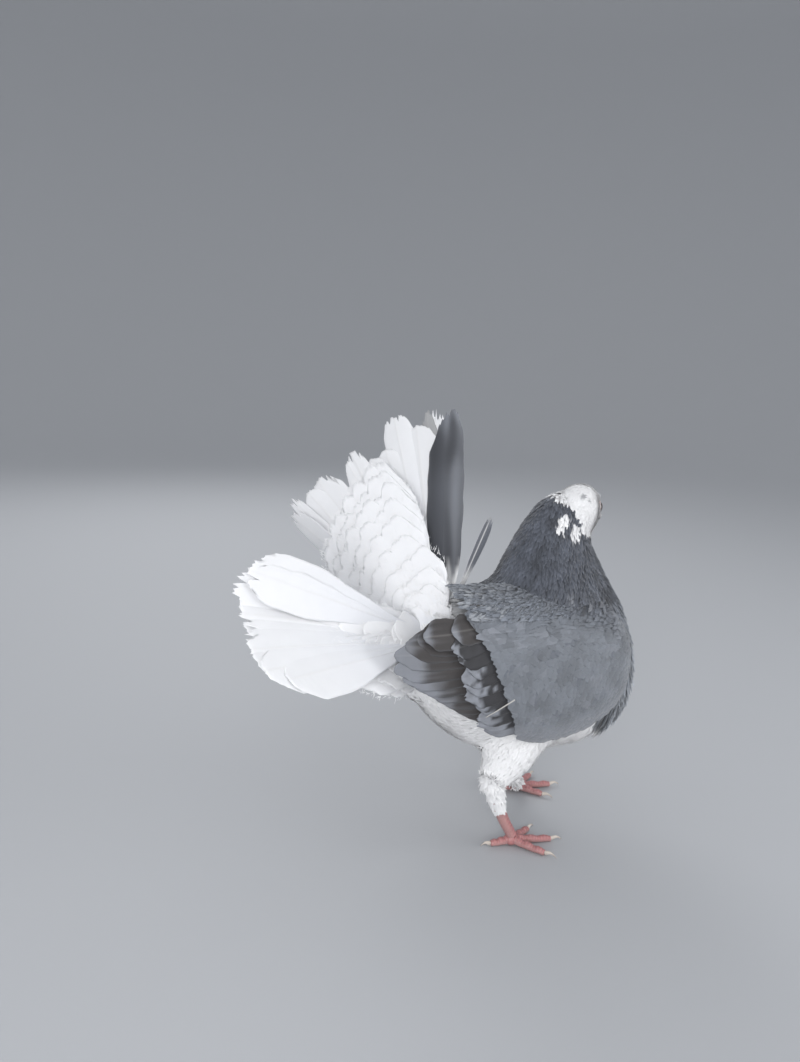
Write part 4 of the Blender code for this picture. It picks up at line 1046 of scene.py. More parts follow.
def loose_barbs(place, width, length, cell, count=54, rows=5):
    """Fine free barbs round a covert's end, which make its edge soft.

    Each starts just inside the outline, at a share q round it: over the tip for the middle half
    of q and along the edges for the rest. It runs out and on, bends, and narrows to nothing.
    """
    q = draw.uniform(-1, 1, count)
    u = np.clip(q * 2, -1, 1)
    s = 1 - SOFT_TIP * np.abs(u) ** 2.4 - 0.8 * np.clip(np.abs(q) - 0.5, 0, None)
    across = u * curve(COVERT_VANE, s) * width / 2
    angle = u * 0.45 + draw.normal(0, 0.38, count)
    reach = 3.6 * draw.uniform(0.5, 1.0, count) ** 2
    t = np.linspace(-0.35, 1, rows)
    bend = draw.normal(0, 0.2, count)[:, None] * t**2
    on = reach[:, None] * (t * np.cos(angle)[:, None] - bend * np.sin(angle)[:, None])
    out = reach[:, None] * (t * np.sin(angle)[:, None] + bend * np.cos(angle)[:, None])
    half = 0.14 * (1 - t.clip(0) ** 1.5)[None, :, None] * np.array([-1.0, 1.0])
    along = s[:, None, None] + (on[..., None] - half * np.sin(angle)[:, None, None]) / length
    beside = across[:, None, None] + out[..., None] + half * np.cos(angle)[:, None, None]
    height = 0.25 + draw.uniform(-0.1, 0.5, count)[:, None, None] * t[:, None] + 0 * half
    points = place(along, beside, height)
    return tufts(points, t[:, None], np.array([-1.0, 1.0]), 0.0, 0.0, WHITE * 0.99,
                 cell_map(cell % 96, u, s))


coverts, barbs = [], []
for count, part_length, lift, width in COVERT_TIERS:
    start = FAN_START * float(ease(0.25, 0.6, part_length))
    for i in range(count):
        share = start + (1 - start) * (i + 0.5 * draw.random()) / (count - 0.5)
        way, across, normal = fan_frame(COVERT_FAN, share)
        reach = smooth(np.linspace(0, 1, len(COVERT_LENGTHS)), COVERT_LENGTHS, share) * part_length
        tip = TAIL_ROOT + way * (reach + draw.uniform(-3, 3)) + normal * lift
        root = TAIL_ROOT + normal * (6 + 0.6 * lift) - way * 2
        wide = width * draw.uniform(0.92, 1.08)
        place = straight(root, tip, across, normal, -1, 0.6, 0.9)
        coverts.append(soft_covert(place, wide, len(coverts)))
        barbs.append(loose_barbs(place, wide, reach, len(barbs)))
for elevation, swing, length in RIGHT_COVERTS:
    way = direction(elevation, swing)
    across = unit(direction(elevation - 3, swing - 2) - way)
    normal = np.cross(way, across)
    normal = normal * np.sign(-normal[1])
    for k, reach in enumerate((1.0, 0.8, 0.6, 0.42)):
        root = TAIL_ROOT + np.array([-4.0, -3.0, -9.0 + elevation / 2])
        tip = root + way * (length * reach + draw.uniform(-3, 3)) + normal * (1.0 + 0.8 * k)
        place = straight(root, tip, across, normal, -1, 0, 0.9)
        coverts.append(soft_covert(place, 27, len(coverts)))
        barbs.append(loose_barbs(place, 27, length * reach, len(barbs)))
piece("tail_coverts_under_feathers", joined(coverts), fluff_finish, "white_feathers",
      "tail_coverts_under")
piece("tail_coverts_under_barbs", joined(barbs), fluff_finish, "white_feathers")


# Wings

def hull_angle(x, z):
    """Angle up from level, seen from the hull's middle line, of its point at x and z."""
    top, bottom = (curve(WING_HULL, x, k) for k in (1, 2))
    rise = np.clip((z - (top + bottom) / 2) / ((top - bottom) / 2), -0.995, 0.995)
    return np.arcsin(np.sign(rise) * np.abs(rise) ** HULL_POWER)


def hull_point(x, z, depth):
    """Point of the right wing's hull at x and z, sunk towards the body by depth."""
    return hull_at(x, hull_angle(x, z), depth)


def hull_at(x, angle, depth):
    """Point of the hull at x and an angle up from level, seen from the hull's middle line."""
    top, bottom, half = (curve(WING_HULL, x, k) for k in (1, 2, 3))
    rise = np.abs(np.sin(angle)) ** (1 / HULL_POWER)
    y = half * np.abs(np.cos(angle)) ** (1 / HULL_POWER)
    tilt = rise**3
    z = (top + bottom) / 2 + np.sign(angle) * ((top - bottom) / 2 * rise - depth * tilt * 0.5)
    return stacked(x, -(y - depth * (1 - 0.35 * tilt)), z)


def place_wing(points, side):
    """Right-wing points put on their side of the bird, drooped about the shoulder."""
    points = np.array(points, float)
    c, s = math.cos(WING_DROOP[side]), math.sin(WING_DROOP[side])
    x, z = points[..., 0] - SHOULDER[0], points[..., 2] - SHOULDER[2]
    points[..., 0] = x * c - z * s * 0.2 + SHOULDER[0]
    points[..., 2] = x * s + z * c + SHOULDER[2]
    if side == "left":
        points[..., 1] *= -1
    return points


def spread(controls, count):
    """Points spread evenly along the smooth curve through the control points."""
    controls = np.array(controls, float)
    keys = np.linspace(0, 1, len(controls))
    curve = np.stack([smooth(keys, controls[:, k], np.linspace(0, 1, 200)) for k in (0, 1)], 1)
    run = np.concatenate([[0], np.cumsum(np.linalg.norm(np.diff(curve, axis=0), axis=1))])
    at = np.linspace(0, run[-1], count)
    return np.stack([np.interp(at, run, curve[:, k]) for k in (0, 1)], 1)


def on_hull(side, root, tip, depth, louver):
    """Place function of a feather that lies on the wing's hull, its lower edge outermost."""
    run = tip - root
    down = unit(np.array([run[1], -run[0]]))
    down = -down if down[1] > 0 else down
    lap = math.sin(math.radians(louver))

    def place(share, sideways, height):
        share, sideways, height = np.broadcast_arrays(share, sideways, height)
        x = root[0] + run[0] * share + down[0] * sideways
        z = root[1] + run[1] * share + down[1] * sideways
        return place_wing(hull_point(x, z, depth - height - sideways * lap), side)
    return place


def shield_grid(u, v, inset=0.0):
    """x and z of the shield at shares back from its front edge and up from its low edge."""
    front = SHIELD_FRONT - 2.4 * inset
    x = front + (SHIELD_REAR[1] + (SHIELD_REAR[0] - SHIELD_REAR[1]) * v - front) * u
    low = curve(WING_LOW, x) + inset
    top = curve(WING_TOP, x) - inset
    return x, low + (top - low) * v


def wing_base(side):
    """Closed sheet under the small coverts, between two depths below the hull."""
    u, v = np.meshgrid(np.linspace(0, 1, 30), np.linspace(0, 1, 30), indexing="ij")
    x, z = shield_grid(u, v, 1.0)
    edge = np.minimum(np.minimum(u, 1 - u), np.minimum(v, 1 - v))
    depth = tuck(hull_angle(x, z))
    outer = place_wing(hull_point(x, z, depth + 1.6 + 1.6 * ease(0.12, 0, edge)), side)
    inner = place_wing(hull_point(x, z, depth + 4.0), side)
    points, quads = two_sided(outer, inner)
    return part(points, quads, BLUE_GREY * 0.8, bake=stacked(u, v) * 0.9 + 0.05)


def tuck(angle):
    """How much deeper the upper edge of the wing lies, close to the back."""
    return 4.5 * ease(0.72, 1.15, angle)


def small_coverts(side, seed, spacing=3.0):
    """Small feathers of the shield, in rows on the hull, fanning back from the shoulder.

    Roots lie on a jittered lattice of the shield, and the feathers grow longer to the rear.
    """
    draw = np.random.default_rng(seed)
    rows_u = int(118 / spacing)
    rows_v = int(74 / spacing)
    u, v = np.meshgrid((np.arange(rows_u) + 0.5) / rows_u, (np.arange(rows_v) + 0.5) / rows_v,
                       indexing="ij")
    u = u + (np.arange(rows_v) % 2)[None, :] * 0.5 / rows_u
    u = np.clip(u.ravel() + draw.normal(0, 0.25 / rows_u, u.size), 0.0, 0.95)
    v = np.clip(v.ravel() + draw.normal(0, 0.25 / rows_v, v.size), 0.01, 0.99)
    x, z = shield_grid(u, v, 0.5)
    length = 8.0 + 7.0 * u + draw.uniform(-1, 1, len(u))
    fall = (v - 0.45) * 0.25 * (1 - u) - 0.05
    heading = unit(stacked(-1.0, fall + draw.normal(0, 0.05, len(v))))
    spots = stacked(x, z, 0)
    tone = BLUE_GREY * (1 + 0.13 * ripple(spots, 20, 50) + draw.normal(0, 0.05, len(u)))[:, None]
    tone = blend(tone, SLATE * 1.3, ease(0.7, 1.3, ripple(spots * (0.6, 1, 1), 8, 51)) * 0.5)
    tone = blend(tone, PALE_TIP, ease(0.6, 1.3, ripple(spots * (0.6, 1, 1), 9, 54)) * 0.45)
    tone = blend(tone, PALE_TIP, ease(0.20, 0.04, v) * 0.6)
    return hull_feathers(side, draw, x, z, heading, length, length * 0.66, (0.9, -0.15), tone,
                         stacked(u, v) * 0.94 + 0.03)


def scapulars(side, seed):
    """Long loose feathers from the back over the upper part of the wing.

    Roots lie at random, ever fewer below the shield's upper edge; the feathers head back and a
    little down, and the tips of the upper ones ride higher above the small coverts.
    """
    draw = np.random.default_rng(seed)
    count = 420
    x = draw.uniform(-56, 34, count)
    below = 17 * draw.random(count) ** 1.7
    z = curve(WING_TOP, x) + 3.5 - below
    rear = ease(20, -50, x)
    heading = unit(stacked(-1.0, -0.22 - 0.14 * rear + draw.normal(0, 0.10, count)))
    length = 14.0 + 8 * rear + draw.uniform(-3, 3, count)
    spots = stacked(x, z, 0)
    tone = blend(MANTLE, BLUE_GREY, ease(0, 14, below)) \
        * (1.0 + 0.14 * ripple(spots, 14, 52) + draw.normal(0, 0.05, count))[:, None]
    tone = blend(tone, PALE_TIP * 1.2, rear * ease(-0.2, 0.9, ripple(spots, 6, 53)) * 0.55)
    tone = blend(tone, SLATE, ease(-10, 30, x) * ease(6, 0, below) * 0.7)
    bake = stacked((x + 60) / 100, (z - 140) / 60)
    tip = -2.2 + 1.9 * ease(3, 15, below)
    return hull_feathers(side, draw, x, z, heading, length, length * 0.42,
                         (1.6 - 0.7 * ease(3, 15, below), tip), tone, bake, fringe=0.22)


def mantle(side, seed):
    """Feathers of the back, over the roots of the scapulars and up to the ridge of the hull.

    Slate at the foot of the neck, they turn grey and then streaky pale towards the tail.
    """
    draw = np.random.default_rng(seed)
    count = 620
    x = draw.uniform(-62, 38, count)
    angle = draw.uniform(0.84, 1.50, count)
    z = hull_at(x, angle, 0.0)[:, 2]
    rear = ease(10, -55, x)
    heading = unit(stacked(-1.0, -0.34 + 0.1 * rear + draw.normal(0, 0.12, count)))
    length = 13.0 + 6 * rear + draw.uniform(-2, 3, count)
    spots = stacked(x, z, 20 * angle)
    mottle = (1.05 + 0.16 * ripple(spots, 12, 56) + draw.normal(0, 0.09, count))[:, None]
    tone = blend(SLATE * 1.05, MANTLE * 1.3, ease(14, -30, x + 30 * (angle - 1.2))) * mottle
    pale = ease(-0.1, 1.1, ripple(spots, 7, 57)) * ease(-18, -50, x)
    tone = blend(tone, WHITE * (0.42, 0.44, 0.47), pale * 0.75)
    bake = stacked(0.02 + (x + 62) / 110, 0.5 + (angle - 0.8) / 1.6)
    return hull_feathers(side, draw, x, z, heading, length, length * 0.34, (2.6, -2.6), tone, bake,
                         fringe=0.15)


def hull_feathers(side, draw, x, z, heading, length, width, depth, tone, bake, fringe=0.0):
    """Small feathers laid on the hull like shingles: sunk at the root, higher towards the tip.

    Each starts at x and z and is stepped over the hull along its heading, by x and by an angle
    that is the distance divided by the hull's mean radius.
    """
    start = hull_angle(x, z)
    down = np.stack([heading[:, 1], -heading[:, 0]], -1)
    s, w, along, across = vane_grid(draw, length, width, 7, 7, 0.45, 0.6, 0.36, 0.12, 2.4)
    px = x[:, None, None] + heading[:, 0, None, None] * along + down[:, 0, None, None] * across
    turn = start[:, None, None] + (heading[:, 1, None, None] * along
                                   + down[:, 1, None, None] * across) / HULL_RADIUS
    sink, top = (np.broadcast_to(d, len(x))[:, None, None] for d in depth)
    sunk = sink + (top - sink) * s**0.8 \
        + 0.45 * ease(0.75, 1.0, s) + 0.055 * width[:, None, None] * w**4 \
        + draw.uniform(-0.05, 0.05, len(x))[:, None, None] + tuck(start)[:, None, None]
    points = place_wing(hull_at(px, np.clip(turn, -1.5, 1.5), sunk), side)
    streak = 1 - 0.07 * np.exp(-(w / 0.22) ** 2) * ease(0.2, 0.8, s) + fringe * w**4
    # Painted shade: each feather is a little darker at its root, where the ones before lie over it.
    # The streak is its own darker shaft and its own pale edges.
    colour = tone[:, None, None] * ((0.95 + 0.08 * s) * streak)[..., None]
    bundle = tufts(points, s, w, along, across, colour, bake)
    return outward_faces(bundle, np.array([-20.0, 0.0, 120.0]))


def greater_vane(seed):
    """Dark feather with a ragged pale grey tip."""
    def colour(along, across):
        points = stacked(along * 30 + seed * 17, across * 7, 0)
        pale_from = GREATER_PALE_FROM[seed]
        ragged = along + 0.10 * ripple(points, 5, 60) - 0.05 * np.abs(across)
        dark = DARK_BAR * (1 + 0.12 * ripple(points, 8, 61))[..., None]
        pale = PALE_TIP * (1 + 0.14 * ripple(points, 5, 63))[..., None]
        return blend(dark, pale, ease(pale_from, pale_from + 0.10, ragged))
    return colour


def flight_vane(seed, pale_from, paleness=0.85):
    """Brownish dark feather, its end pale grey from a share of the length, with pale streaks."""
    def colour(along, across):
        points = stacked(along * 60 + seed * 23, across * 8, 0)
        streak = ripple(points * (0.08, 2.2, 1), 5, 62)
        dark = FLIGHT * (1 + 0.14 * streak)[..., None]
        pale = ease(0.86, 1.0, across) * 0.30 + 0.10 * ease(0.6, 1.1, streak)
        dark = blend(dark, PALE_TIP * 0.7, pale)
        ended = along + 0.02 * streak + 0.04 * ripple(points, 12, 64)
        return blend(dark, PALE_TIP, ease(pale_from, pale_from + 0.16, ended) * paleness)
    return colour


FLIGHT_TIPS = [(-112, 153), (-123, 149), (-129, 143), (-127, 137), (-120, 131), (-110, 125),
               (-98, 117), (-85, 109), (-71, 103)]
FLIGHT_ROOTS = [(-54, 149), (-16, 102)]
GREATER_TIPS = [(-91, 148), (-87, 136), (-83, 121), (-78, 108), (-70, 97)]
GREATER_ROOTS = [(-60, 151), (-24, 98)]
TERTIALS = [((-66, 154), (-109, 154.5), 17, 3.4), ((-58, 156), (-91, 155.5), 16, 2.4),
            ((-52, 159), (-78, 160.0), 15, 1.4)]
FLIGHT_COUNT = 12
FLIGHT_PALE_FROM = [0.88, 0.82, 0.70, 0.66, 0.66, 0.68, 0.71, 0.75, 0.80, 0.86, 0.92, 0.96]
FLIGHT_PALENESS = [0.45, 0.6, 0.85, 0.95, 0.95, 0.9, 0.8, 0.65, 0.5, 0.35, 0.25, 0.2]
GREATER_COUNT = 11
GREATER_PALE_FROM = [0.82, 0.90, 0.62, 0.70, 0.57, 0.74, 0.60, 0.52, 0.64, 0.40, 0.34]
LOOSE_QUILL = ((-70.5, 104.8), (-52.5, 113.8))      # bare shaft that lies over the low coverts

def wing_vane(side, root, tip, depth, louver, half, colour, cell, rows, columns=17, **form):
    """A flight feather or large covert, laid on the hull from its root to its tip."""
    place = on_hull(side, np.array(root, float), np.array(tip, float), depth, louver)
    return large_feather(place, half, WING_VANE, colour, draw, cell, rows=rows, columns=columns,
                         camber=0.0, **form)


for side, sign in SIDES.items():
    for kind, bundle, finish in (
            ("shield_feathers", small_coverts(side, 70 + sign), contour_finish),
            ("arm", wing_base(side), skin_finish),
            ("scapulars", scapulars(side, 74 + sign), contour_finish),
            ("mantle", mantle(side, 84 + sign), contour_finish)):
        piece("wing_" + side + "_" + kind, bundle, finish, "grey_feathers")
    flights = [wing_vane(side, root, tip, 5.6, 2.5, 9.8,
                         flight_vane(i, FLIGHT_PALE_FROM[i], FLIGHT_PALENESS[i]), i, 26,
                         round_tip=0.10, fray=0.01, shaft=0.12, thickness=0.2,
                         quill=draw.uniform(0.0, 0.09))
               for i, (root, tip) in enumerate(zip(spread(FLIGHT_ROOTS, FLIGHT_COUNT),
                                                   spread(FLIGHT_TIPS, FLIGHT_COUNT)))]
    flights += [wing_vane(side, root, tip, depth, 6, width / 2, flight_vane(20 + i, 0.80), 20 + i, 22,
                          round_tip=0.12, fray=0.012, shaft=0.2, quill=0.10)
                for i, (root, tip, width, depth) in enumerate(TERTIALS)]
    large = [wing_vane(side, root, tip + draw.uniform(-2.8, 2.8, 2), 2.2, 5,
                       draw.uniform(7.4, 10.2), greater_vane(i), i, 20, 15, round_tip=0.14,
                       fray=0.05, shaft=0.1, thickness=0.24, quill=0.04)
             for i, (root, tip) in enumerate(zip(spread(GREATER_ROOTS, GREATER_COUNT),
                                                 spread(GREATER_TIPS, GREATER_COUNT)))]
    line = np.linspace(*np.array(LOOSE_QUILL), 12)
    quill = place_wing(hull_point(line[:, 0], line[:, 1], 0.2), side)
    thick = np.linspace(0.22, 0.5, 12)
    large.append(tube(pipe(quill, thick, 8), QUILL * 0.7))
    middle = np.array([-60.0, 0.0, 130.0])
    piece("wing_" + side + "_flight_feathers", outward_faces(joined(flights), middle), dark_finish,
          "dark_feathers", "wing_" + side + "_flight")
    piece("wing_" + side + "_greater_coverts", outward_faces(joined(large), middle), dark_finish,
          "dark_feathers", "wing_" + side + "_shield")


# Legs: scaly lower shank and toes, feathered upper shank, claws

BOOT_REACH = {"left": 1.02, "right": 0.46}      # share of the shank with feathers


def toe_radius(t):
    """Toe radius: thinner to the tip, with a pad at each of its three joints."""
    return TOE_RADIUS * (1.04 - 0.34 * t + 0.10 * np.sin(3 * math.pi * t) ** 2)


def shank_path(side, t):
    """Line of a shank from heel to foot, bowed back by half a sine wave."""
    heel, foot = np.array(HEEL[side]), np.array([*FOOT_JOINT[side], 6.5])
    start = heel + unit(foot - heel) * 0.5
    return start + (foot - start) * t[:, None] - np.array([2.0, 0, 0]) * np.sin(math.pi * t)[:, None]


def toe_way(side, toe):
    """Level unit vector along a toe: the foot's turn, and the toe's own spread, mirrored."""
    heading = math.radians(FOOT_TURN[side] + SIDES[side] * TOE_SPREAD[toe])
    return np.array([math.cos(heading), math.sin(heading), 0.0])


def toe_path(side, toe, t):
    """Line of a toe: straight seen from above, lifting at its root and over its joints."""
    height = TOE_RADIUS * 0.80 - 0.5 * t + 1.5 * (1 - t) ** 2 + 0.5 * np.sin(3 * math.pi * t) ** 2
    out = toe_way(side, toe) * TOE_LENGTH[toe]
    return np.array([*FOOT_JOINT[side], 0.0]) + out * t[:, None] + np.outer(height, (0, 0, 1))


def scaly_tube(path_at, width_at, plates, facing, level, floor=-math.inf, sides=28):
    """Tube with overlapping plates on the side that it faces and beads on the other.

    Along each plate the radius swells slowly and drops at once to the next, by a share of the
    radius that fades away from the facing side. The beads are a product of two sines.
    """
    t = np.linspace(0, 1, plates * 6 + 1)
    saw = (np.arange(len(t)) % 6) / 5.0
    radius = width_at(t)
    rings = pipe(path_at(t), radius, sides, level)
    centre = path_at(t)[:, None, :]
    turn = circle(sides)
    front = ease(-0.15, 0.55, np.cos(turn - facing))[None, :]
    beads = np.sin(9 * turn)[None, :] * np.sin(np.arange(len(t)) * math.pi / 2)[:, None]
    swell = 1 + 0.085 * (saw[:, None] - 0.5) * front + 0.035 * beads * (1 - front)
    rings = centre + (rings - centre) * swell[..., None]
    rings[..., 2] = np.maximum(rings[..., 2], floor)
    # Painted shade: along each plate the pink grows lighter up to its raised edge and is darkest where
    # the plate starts under the edge of the one before. The paler, more skin-coloured side away from
    # the plates is the leg's own colour.
    tint = LEG_PINK * (0.80 + 0.28 * saw[:, None] * front + 0.16 * (1 - front))[..., None]
    tint = blend(tint, BARE_SKIN, 0.25 * (1 - front))
    bake = stacked(turn / 7, t[:, None] * 0.9 + 0.05)
    return tube(rings, tint, bake=bake)


def claw(side, toe):
    """Curved cone from the toe's tip: forward by an even step, up in an arc and down to a point."""
    tip = toe_path(side, toe, np.array([1.0]))[0]
    way = toe_way(side, toe)
    root = tip + way * 0.4
    t = np.linspace(0, 1, 14)
    length = CLAW_LENGTH * (0.85 if toe == "hind" else 1.0)
    line = root + np.outer(length * t, way) + np.outer(1.7 * np.sin(2.4 * t) - 2.15 * t**2, (0, 0, 1))
    radius = 1.45 * (1 - 0.86 * t**1.2)
    rings = pipe(line, radius, 14, (0, 0, 1), 0.70, 0.1)
    tint = blend(CLAW_PALE, CLAW_DARK, ease(0.35, 1.0, t) * 0.45)[:, None]
    bake = stacked(np.linspace(0, 0.8, 14), t[:, None])
    return tube(rings, tint, end=line[-1] + unit(line[-1] - line[-2]) * 0.4, bake=bake)


def shank_feathers(side, seed):
    """Short white feathers round the shank that point down it, and over the ball of the heel."""
    draw = np.random.default_rng(seed)
    reach = BOOT_REACH[side]
    count = int(2500 * (reach + 0.16))
    t = draw.uniform(-0.16, reach, count)
    turn = draw.uniform(0, 2 * math.pi, count)
    path = shank_path(side, np.linspace(0, 1, 21))
    ahead = unit(path[-1] - path[0])
    back = unit(np.cross((0, 1, 0), ahead))
    out = back * np.cos(turn)[:, None] + np.array([0, 1.0, 0]) * np.sin(turn)[:, None]
    radius = curve(SHANK_RADIUS, t)
    heel = (t < 0)[:, None]
    out = np.where(heel, unit(draw.normal(size=(count, 3))), out)
    centre = shank_path(side, np.clip(t, 0, 1))
    length = draw.uniform(6, 9, count) * (1 - 0.35 * ease(reach - 0.25, reach, t))
    s = np.linspace(0, 1, 5)
    lift = -0.8 + (1.9 + 1.2 * ease(0.35, -0.1, t) + 2.0 * ease(0.6, 1.0, t))[:, None] \
        * s[None, :] ** 0.8 + draw.uniform(-0.3, 0.6, count)[:, None] * s
    heading = ahead + 0.12 * draw.normal(size=(count, 3))
    heading = unit(heading - np.where(heel, out * dot(heading, out)[:, None], 0.0))
    across = unit(np.cross(out, heading))
    rows, w, along, beside = vane_grid(draw, length, np.full(count, 2.7), 5, 5, 0.5, 0.45, 0.22,
                                       0.26)
    narrow = (radius[:, None] * (1 - 0.35 * s) + lift)[..., None]
    points = (centre[:, None, None, :] + out[:, None, None, :] * narrow[..., None]
              + heading[:, None, None, :] * along[..., None]
              + across[:, None, None, :] * beside[..., None])
    points = points - out[:, None, None, :] * (0.25 * w**2)[None, None, :, None]
    points[..., 2] = np.maximum(points[..., 2], 0.3)
    tint = WHITE * draw.uniform(0.95, 1.0, (count, 1, 1, 1))
    spot = stacked(0.55 + 0.1 * turn / 7 + 0.15 * (side == "left"), 0.05 + 0.3 * (t + 0.1))
    return tufts(points, rows, w, along, beside, tint, spot)


for side in SIDES:
    shank = scaly_tube(lambda t: shank_path(side, t), lambda t: curve(SHANK_RADIUS, t), 15,
                       math.pi, (0, 1, 0))
    piece("shank_" + side + "_scales", shank, leg_finish, "leg_skin", "shank_" + side)
    foot = []
    for k, toe in enumerate(TOE_LENGTH):
        plates = int(TOE_LENGTH[toe] / 1.9)
        foot.append(moved_bake(scaly_tube(lambda t: toe_path(side, toe, t), toe_radius, plates,
                                          math.pi / 2, (0, 0, 1), floor=0.0, sides=22), 0.25 * k, 0.3))
        piece("claw_" + side + "_" + toe + "_horn", claw(side, toe), claw_finish, "claw_horn",
              "claw_" + side + "_" + toe)
    joint = np.array([*FOOT_JOINT[side], 0.0])
    hub = ball(joint + (0, 0, 3.4), (4.4, 4.2, 3.9), 0.0, LEG_PINK)
    hub[0][:, 2] = np.maximum(hub[0][:, 2], 0.0)
    foot.append(moved_bake(hub, 0.0, 0.6))
    piece("foot_" + side + "_scales", joined(foot), leg_finish, "leg_skin", "foot_" + side)
    piece("shank_" + side + "_feathers", shank_feathers(side, 90 + SIDES[side]), fluff_finish,
          "white_feathers")


# Eyes, lids and bill

for name, side in SIDES.items():
    centre = from_head(np.array([EYE_PLACE[0] - 0.4, side * EYE_PLACE[1], EYE_PLACE[2]]))
    fall, about = np.linspace(0, math.pi, 41)[1:-1, None], circle(48)
    streak = 0.75 + 0.25 * np.sin(about * 31 + 4 * np.sin(about * 7)) * np.sin(fall * 19) ** 2
    tint = blend(PUPIL, IRIS * streak[..., None], ease(0.40, 0.44, fall))
    # Painted shade: the eyeball turns near black round the iris, where it sinks under the lids.
    tint = blend(tint, EYE_RIM_SHADE, ease(0.72, 0.86, fall))
    eye = ball(centre, (0.90 * EYE_RADIUS, EYE_RADIUS, EYE_RADIUS),
               HEAD_TURN + side * (math.pi / 2 - 0.24), tint, 39, 48)
    piece("eyeball_" + name, eye, eye_finish, "eye", "eye_" + name)
    outward = unit(from_head(np.array([0.35, side, 0.06])) - HEAD_CENTRE)
    upright = unit(from_head(np.array([0, 0, 1.0])) - HEAD_CENTRE)
    onward = unit(np.cross(upright, outward))
    upright = np.cross(outward, onward)
    turn = np.linspace(0, 2 * math.pi, 56, endpoint=False)[:, None]
    bend = np.linspace(0, 2 * math.pi, 20, endpoint=False)[None, :]
    folds = 0.10 * np.sin(bend * 6) + 0.05 * np.sin(turn * 23) * np.sin(bend * 2)
    reach = LID_RADIUS + (1.05 + folds) * np.cos(bend)
    out = (0.70 + folds) * np.sin(bend) + 0.12 * np.cos(2 * turn)
    spoke = onward * (1.06 * np.cos(turn))[..., None] + upright * (0.92 * np.sin(turn))[..., None]
    lids = centre + outward * 1.7 + spoke * reach[..., None] + outward * out[..., None]
    rows, columns = lids.shape[:2]
    quads = grid_faces(rows + 1, columns, True) % (rows * columns)
    # Painted shade: the lid skin is lighter on the ridges of its folds and darker in their grooves.
    tint = LID_SKIN * (0.9 + 0.5 * folds)[..., None]
    bake = stacked(bend / 7, turn / 7)
    ring = outward_faces(part(lids, quads, tint, bake=bake), centre)
    piece("eyelids_" + name, ring, lid_finish, "white_feathers")


def bill_half(sign, reach, droop, tall_at, wide_at):
    """Half of the bill: arches from the line of the mouth, which droops towards the tip."""
    t = np.linspace(0, 1, 30)
    edge = MOUTH_HEIGHT + sign * 0.18 - droop * t**2.4
    arc = np.linspace(0, math.pi, 21)
    floor = np.linspace(-1, 1, 9)[1:-1]
    across = np.concatenate([np.cos(arc), floor])
    upright = np.concatenate([np.sin(arc) ** 0.9, np.zeros(len(floor))])
    rings = np.stack([BILL_START + reach * t[:, None] + 0 * across,
                      curve(wide_at, t)[:, None] * across,
                      edge[:, None] + sign * curve(tall_at, t)[:, None] * upright], -1)
    tint = blend(BILL_PINK, BILL_TIP, ease(0.35, 0.8, t))
    # Painted shade: each half is lighter over its ridge and darker towards the mouth line and on its
    # inner face.
    tint = tint[:, None, :] * (0.94 + 0.08 * upright[None, :, None])
    tip = (BILL_START + reach + 0.5, 0, edge[-1] + sign * 0.2)
    bake = stacked(np.linspace(0, 0.8, len(across)), t[:, None])
    middle = from_head(np.array([BILL_START + reach / 2, 0, edge[15] + sign]))
    return outward_faces(tube(from_head(rings), tint, end=from_head(np.array(tip)), bake=bake), middle)


upper = [bill_half(1, BILL_LENGTH, 2.6, [(0, 4.4), (0.3, 3.75), (0.55, 3.0), (0.78, 2.7), (0.93, 1.9),
                                         (1, 0.8)],
                   [(0, 3.7), (0.3, 2.9), (0.6, 2.1), (0.8, 1.75), (0.94, 1.1), (1, 0.45)])]
for side in (1, -1):
    cere = ball(from_head(np.array([19.2, side * 1.7, 2.05])), (3.5, 1.75, 1.6), HEAD_TURN, CERE_PALE)
    # The nostril slit is a small near-black lens on the bill: painted shade of the opening.
    slit = ball(from_head(np.array([21.3, side * 2.75, 1.15])), (1.5, 0.55, 0.34), HEAD_TURN,
                NOSTRIL_SHADE)
    upper += [moved_bake(cere, 0.3, 0.1 + 0.2 * side), moved_bake(slit, 0.6, 0.1 + 0.2 * side)]
piece("bill_upper_horn", joined(upper), bill_finish, "bill", "bill_upper")
lower = bill_half(-1, BILL_LENGTH - 2.5, 1.6, [(0, 2.5), (0.4, 2.2), (0.8, 1.5), (1, 0.5)],
                  [(0, 3.6), (0.3, 2.7), (0.7, 1.8), (0.94, 1.1), (1, 0.4)])
piece("bill_lower_horn", lower, bill_finish, "bill", "bill_lower")


# Floor, light and camera

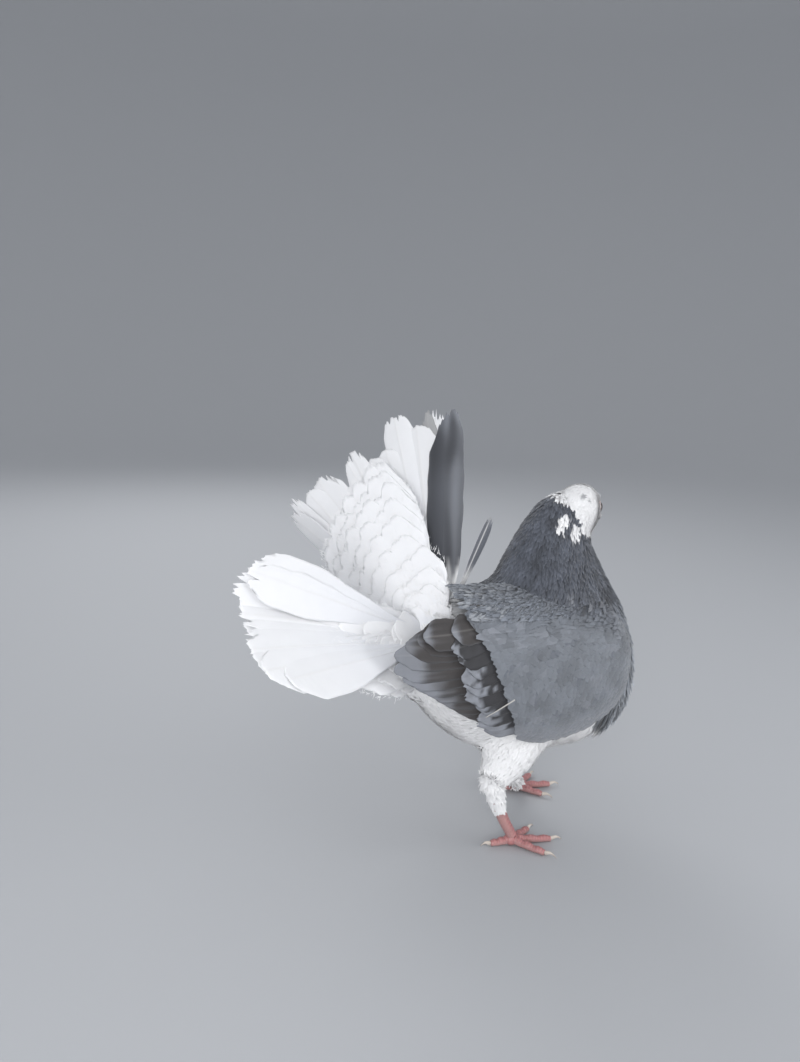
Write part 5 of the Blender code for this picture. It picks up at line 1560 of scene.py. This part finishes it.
def pale_floor():
    """Floor that bends up into a round wall far off: a profile turned about the vertical."""
    finish, tree, shader = material("pale floor", 0.7, Base_Color=(0.40, 0.41, 0.43, 1.0))
    place = node(tree, "TexCoord").outputs["Object"]
    bumped(tree, shader, noise(tree, place, 240.0, 6.0), 0.05, 0.0005)
    bend = np.linspace(0, math.pi / 2, 14)
    reach = np.concatenate([[0.02, 0.5, 1.0, 1.6, 2.2], 2.2 + 2.0 * np.sin(bend[1:]), [4.2]])
    height = np.concatenate([np.zeros(5), 2.0 * (1 - np.cos(bend[1:])), [2.7]]) - 0.0004
    turn = np.linspace(0, 2 * math.pi, 72, endpoint=False)
    rings = stacked(reach[:, None] * np.cos(turn), reach[:, None] * np.sin(turn), height[:, None])
    middle = len(reach) * 72
    mesh = bpy.data.meshes.new("floor")
    fan = [(middle, j, (j + 1) % 72) for j in range(72)]
    quads = grid_faces(len(reach), 72, True)[:, ::-1].tolist()
    mesh.from_pydata(rings.reshape(-1, 3).tolist() + [(0, 0, -0.0004)], [], quads + fan)
    mesh.shade_smooth()
    mesh.materials.append(finish)
    floor = bpy.data.objects.new("floor", mesh)
    bpy.context.collection.objects.link(floor)


def area_light(name, place, target, size, power, spread=180):
    """Round lamp aimed at a target, its light spread over an angle in degrees."""
    lamp = bpy.data.lights.new(name, "AREA")
    lamp.shape = "DISK"
    lamp.size = size
    lamp.energy = power
    lamp.spread = math.radians(spread)
    holder = bpy.data.objects.new(name, lamp)
    holder.location = place
    holder.rotation_euler = (Vector(target) - Vector(place)).to_track_quat("-Z", "Y").to_euler()
    bpy.context.collection.objects.link(holder)


pale_floor()
area_light("key", (-0.62, -1.00, 0.62), (0, 0, 0.12), 0.7, 7.0)
area_light("fill", (0.95, -0.75, 0.35), (0, 0, 0.12), 0.9, 6.0)
area_light("low", (-0.75, -0.90, 0.24), (0, 0, 0.10), 0.4, 0.62, 70)
area_light("back", (0.1, 1.2, 1.0), (0, 0, 0.15), 0.9, 6.0)
bpy.context.scene.view_settings.view_transform = "Standard"
world = bpy.data.worlds.new("studio")
bpy.context.scene.world = world
world.use_nodes = True
world.node_tree.nodes["Background"].inputs["Color"].default_value = (0.80, 0.82, 0.85, 1.0)
world.node_tree.nodes["Background"].inputs["Strength"].default_value = 1.0

CAMERA_PLACE = (-0.2367, -0.4387, 0.300)
HEADING, PITCH, ROLL = math.radians(26), math.radians(11.5), math.radians(2.6)
view_way = Vector((math.sin(HEADING) * math.cos(PITCH), math.cos(HEADING) * math.cos(PITCH),
                   -math.sin(PITCH)))
level_right = Vector((math.cos(HEADING), -math.sin(HEADING), 0))
level_up = level_right.cross(view_way)
right = level_right * math.cos(ROLL) + level_up * math.sin(ROLL)
up = level_up * math.cos(ROLL) - level_right * math.sin(ROLL)
lens = bpy.data.cameras.new("camera")
lens.sensor_fit = "HORIZONTAL"
lens.sensor_width = 36.0
lens.lens = 35.955
camera = bpy.data.objects.new("camera", lens)
bpy.context.collection.objects.link(camera)
turned = Matrix((right, up, -view_way)).transposed().to_4x4()
camera.matrix_world = Matrix.Translation(CAMERA_PLACE) @ turned
bpy.context.scene.camera = camera
